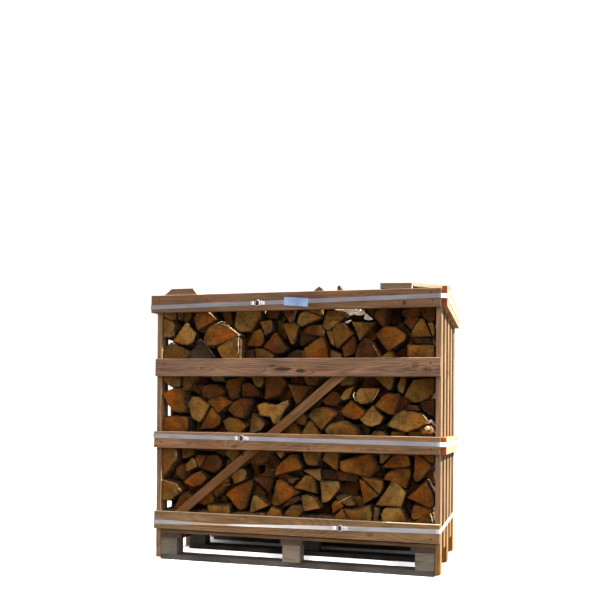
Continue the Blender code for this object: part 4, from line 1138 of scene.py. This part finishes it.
def dress_boards():
    """Better materials and softened edges for the frame's and the pallet's own solids."""
    rng = random.Random(SEEDS["boards"])
    for name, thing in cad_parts.items():
        kind = next((k for k in BOARDS if name.startswith(k)), None)
        if kind is None:
            continue
        along, colour, painted_light_faces, grey = BOARDS[kind]
        colour = OWN_COLOURS.get(name, colour)
        colours = [*shades(colour, 0.66, 1.0), rgb(*(min(250, v * 1.20 + 8) for v in colour))]
        low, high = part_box(name)
        axis = "XYZ".index(along)
        size = high[axis] - low[axis]
        knots = []
        for x, z, half, tall, darkness in KNOTS.get(name, ()):
            spot = at(x, z)
            run = spot.x + ORIGIN.x - (low[0] + high[0]) / 2
            up = spot.y + ORIGIN.z - (low[2] + high[2]) / 2
            knots.append((run, up, half / 100, tall / 100, darkness))
        if name not in KNOTS and kind != "block":
            for _ in range(rng.choice((0, 1, 2))):
                place = rng.uniform(-0.45, 0.45) * size, rng.uniform(-0.02, 0.02)
                halves = rng.uniform(0.008, 0.014), rng.uniform(0.006, 0.010)
                knots.append((*place, *halves, rng.uniform(0.5, 0.9)))
        material = board_wood(name, (low, high), along, colours, painted_light_faces, grey, knots, rng)
        for slot in thing.material_slots:
            slot.material = material
        thing.modifiers.new("Joined", "WELD").merge_threshold = 0.00001
        soften = thing.modifiers.new("Softened", "BEVEL")
        soften.width = SOFT_EDGE
        soften.segments = 2
        soften.limit_method = "ANGLE"


def dress_bands():
    for level in ("middle", "top"):
        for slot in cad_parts[f"strap_{level}"].material_slots:
            slot.material = strap_material(f"strap_{level}", BANDS[level])
    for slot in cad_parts["label"].material_slots:
        slot.material = label_material()


def twisted_band():
    """The bottom band, which leans out and narrows along the middle of the front."""
    work = bmesh.new()
    work.from_mesh(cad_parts["strap_bottom"].data)
    bmesh.ops.remove_doubles(work, verts=work.verts, dist=0.00001)
    bmesh.ops.dissolve_limit(work, angle_limit=0.01, verts=work.verts, edges=work.edges)
    front = ORIGIN.y - BOARD + 0.001
    ahead = [e for e in work.edges if all(v.co.y < front for v in e.verts)]
    long = [e for e in ahead if abs(e.verts[0].co.x - e.verts[1].co.x) > 0.4]
    bmesh.ops.subdivide_edges(work, edges=long, cuts=90, use_grid_fill=True)
    verts = [v for v in work.verts if v.co.y < front]
    left, right = min(v.co.x for v in verts), max(v.co.x for v in verts)
    ends = [[v.co.z for v in verts if abs(v.co.x - x) < 0.002] for x in (left, right)]
    start, stop = (sum(e) / len(e) for e in ends)
    for v in verts:
        middle = start + (stop - start) * (v.co.x - left) / (right - left)
        x = (v.co.x - ORIGIN.x + LEAN * middle) * 100
        narrow = np.interp(x, *TWIST)
        wave = noise.noise(Vector((x * 0.08, 0, 3))) * 0.0012
        lower = v.co.z < middle
        v.co.z = middle + (v.co.z - middle) * narrow + wave * (1 - narrow) * 2 - (1 - narrow) * 0.0045
        if lower:
            v.co.y -= min(0.0028, (1 - narrow) * 0.006)
    mesh = bpy.data.meshes.new("band_bottom")
    work.to_mesh(mesh)
    work.free()
    mesh.materials.clear()
    mesh.materials.append(strap_material("strap_bottom", BANDS["bottom"], True))
    band = placed("band_bottom", mesh)
    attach(band, "root")
    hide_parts("strap_bottom")


def lamp(name, energy, degrees, direction, receivers, colour=(1, 1, 1)):
    """A distant lamp that shines from a direction and lights only its receivers, or all but them."""
    data = bpy.data.lights.new(name, "SUN")
    data.energy = energy
    data.angle = math.radians(degrees)
    data.color = colour
    light = placed(name, data)
    light.rotation_euler = Vector(direction).to_track_quat("Z", "Y").to_euler()
    light.light_linking.receiver_collection = receivers


def surroundings():
    """White all round, dimmer behind and near the horizon. The camera sees it evenly white."""
    world = bpy.data.worlds.new("studio")
    bpy.context.scene.world = world
    n = Nodes("studio", world)
    _, y, z = n.split(n.value("TexCoord", output="Generated"))
    sides = ((FRONT_LIGHT, FRONT_LOW), (BACK_LIGHT, BACK_LOW))
    front, back = (n.levels(z, 0.0, 0.5, light * share, light) for light, share in sides)
    light = n.levels(y, -0.6, 0.6, front, back)
    seen = n.value("LightPath", output="Is Camera Ray")
    background = n.tree.nodes["Background"]
    n.put(background.inputs["Strength"], n.value("Mix", {0: seen, 2: light, 3: BACKDROP}))
    n.put(background.inputs["Color"], (1.0, 0.99, 0.98, 1))


def studio():
    """White surroundings, a pale floor with lamps of its own, and a key light from the right."""
    surroundings()
    mesh = bpy.data.meshes.new("floor")
    reach = FLOOR_REACH
    corners = [(-reach, -reach, 0), (reach, -reach, 0), (reach, reach, 0), (-reach, reach, 0)]
    mesh.from_pydata(corners, [], [(0, 1, 2, 3)])
    floor = placed("floor", mesh)
    n = Nodes("floor_paint")
    pale = n.ramp(n.noise(n.place(), 2.0, 2.0), (0.3, 0.7), ((0.94, 0.94, 0.94, 1), (0.96, 0.96, 0.96, 1)))
    seen = n.value("LightPath", output="Is Camera Ray")
    mesh.materials.append(n.finish(n.mix(seen, FLOOR_BOUNCE, pale), 0.9, 0.1))
    all_but_floor = bpy.data.collections.new("lit_by_key")
    all_but_floor.objects.link(floor)
    lamp("key", SUN, SUN_SIZE, SUN_FROM, all_but_floor, SUN_COLOUR)
    all_but_floor.collection_objects[0].light_linking.link_state = "EXCLUDE"
    only_floor = bpy.data.collections.new("lit_by_floor_light")
    only_floor.objects.link(floor)
    for side, direction in FLOOR_LIGHT_FROM.items():
        lamp(f"floor_light_{side}", FLOOR_LIGHT, FLOOR_LIGHT_SIZE, direction, only_floor)
    bpy.context.scene.view_settings.view_transform = "Standard"


def camera():
    """The photograph's camera: level, turned left, rolled a little, its frame shifted up and right."""
    data = bpy.data.cameras.new("camera")
    data.sensor_width = SENSOR
    data.lens = FOCAL / PICTURE * SENSOR
    data.shift_x = (PICTURE / 2 - CENTRE[0]) / PICTURE
    data.shift_y = (CENTRE[1] - PICTURE / 2) / PICTURE
    data.clip_end = 100
    thing = placed("camera", data)
    turns = ((math.radians(YAW), "Z"), (math.pi / 2, "X"), (math.radians(ROLL), "Z"))
    yaw, level, roll = (Matrix.Rotation(angle, 4, axis) for angle, axis in turns)
    thing.matrix_world = Matrix.Translation(Vector(EYE) + ORIGIN) @ yaw @ level @ roll
    bpy.context.scene.camera = thing


WIRE = metal("buckle_steel", 160.0, (0.3, 0.7), (rgb(196, 194, 190), rgb(236, 234, 230)), (0.22, 0.42), 0.85)
# The band's folds at the buckles, painted paler than the bands: painted highlights
BAND_END_HIGHLIGHT = strap_material("band_end_highlight", (205, 200, 200))
SCRAP = scrap_material()
studio()
camera()
dress_boards()
dress_bands()
twisted_band()
buckles()
nails()
scraps()
firewood()
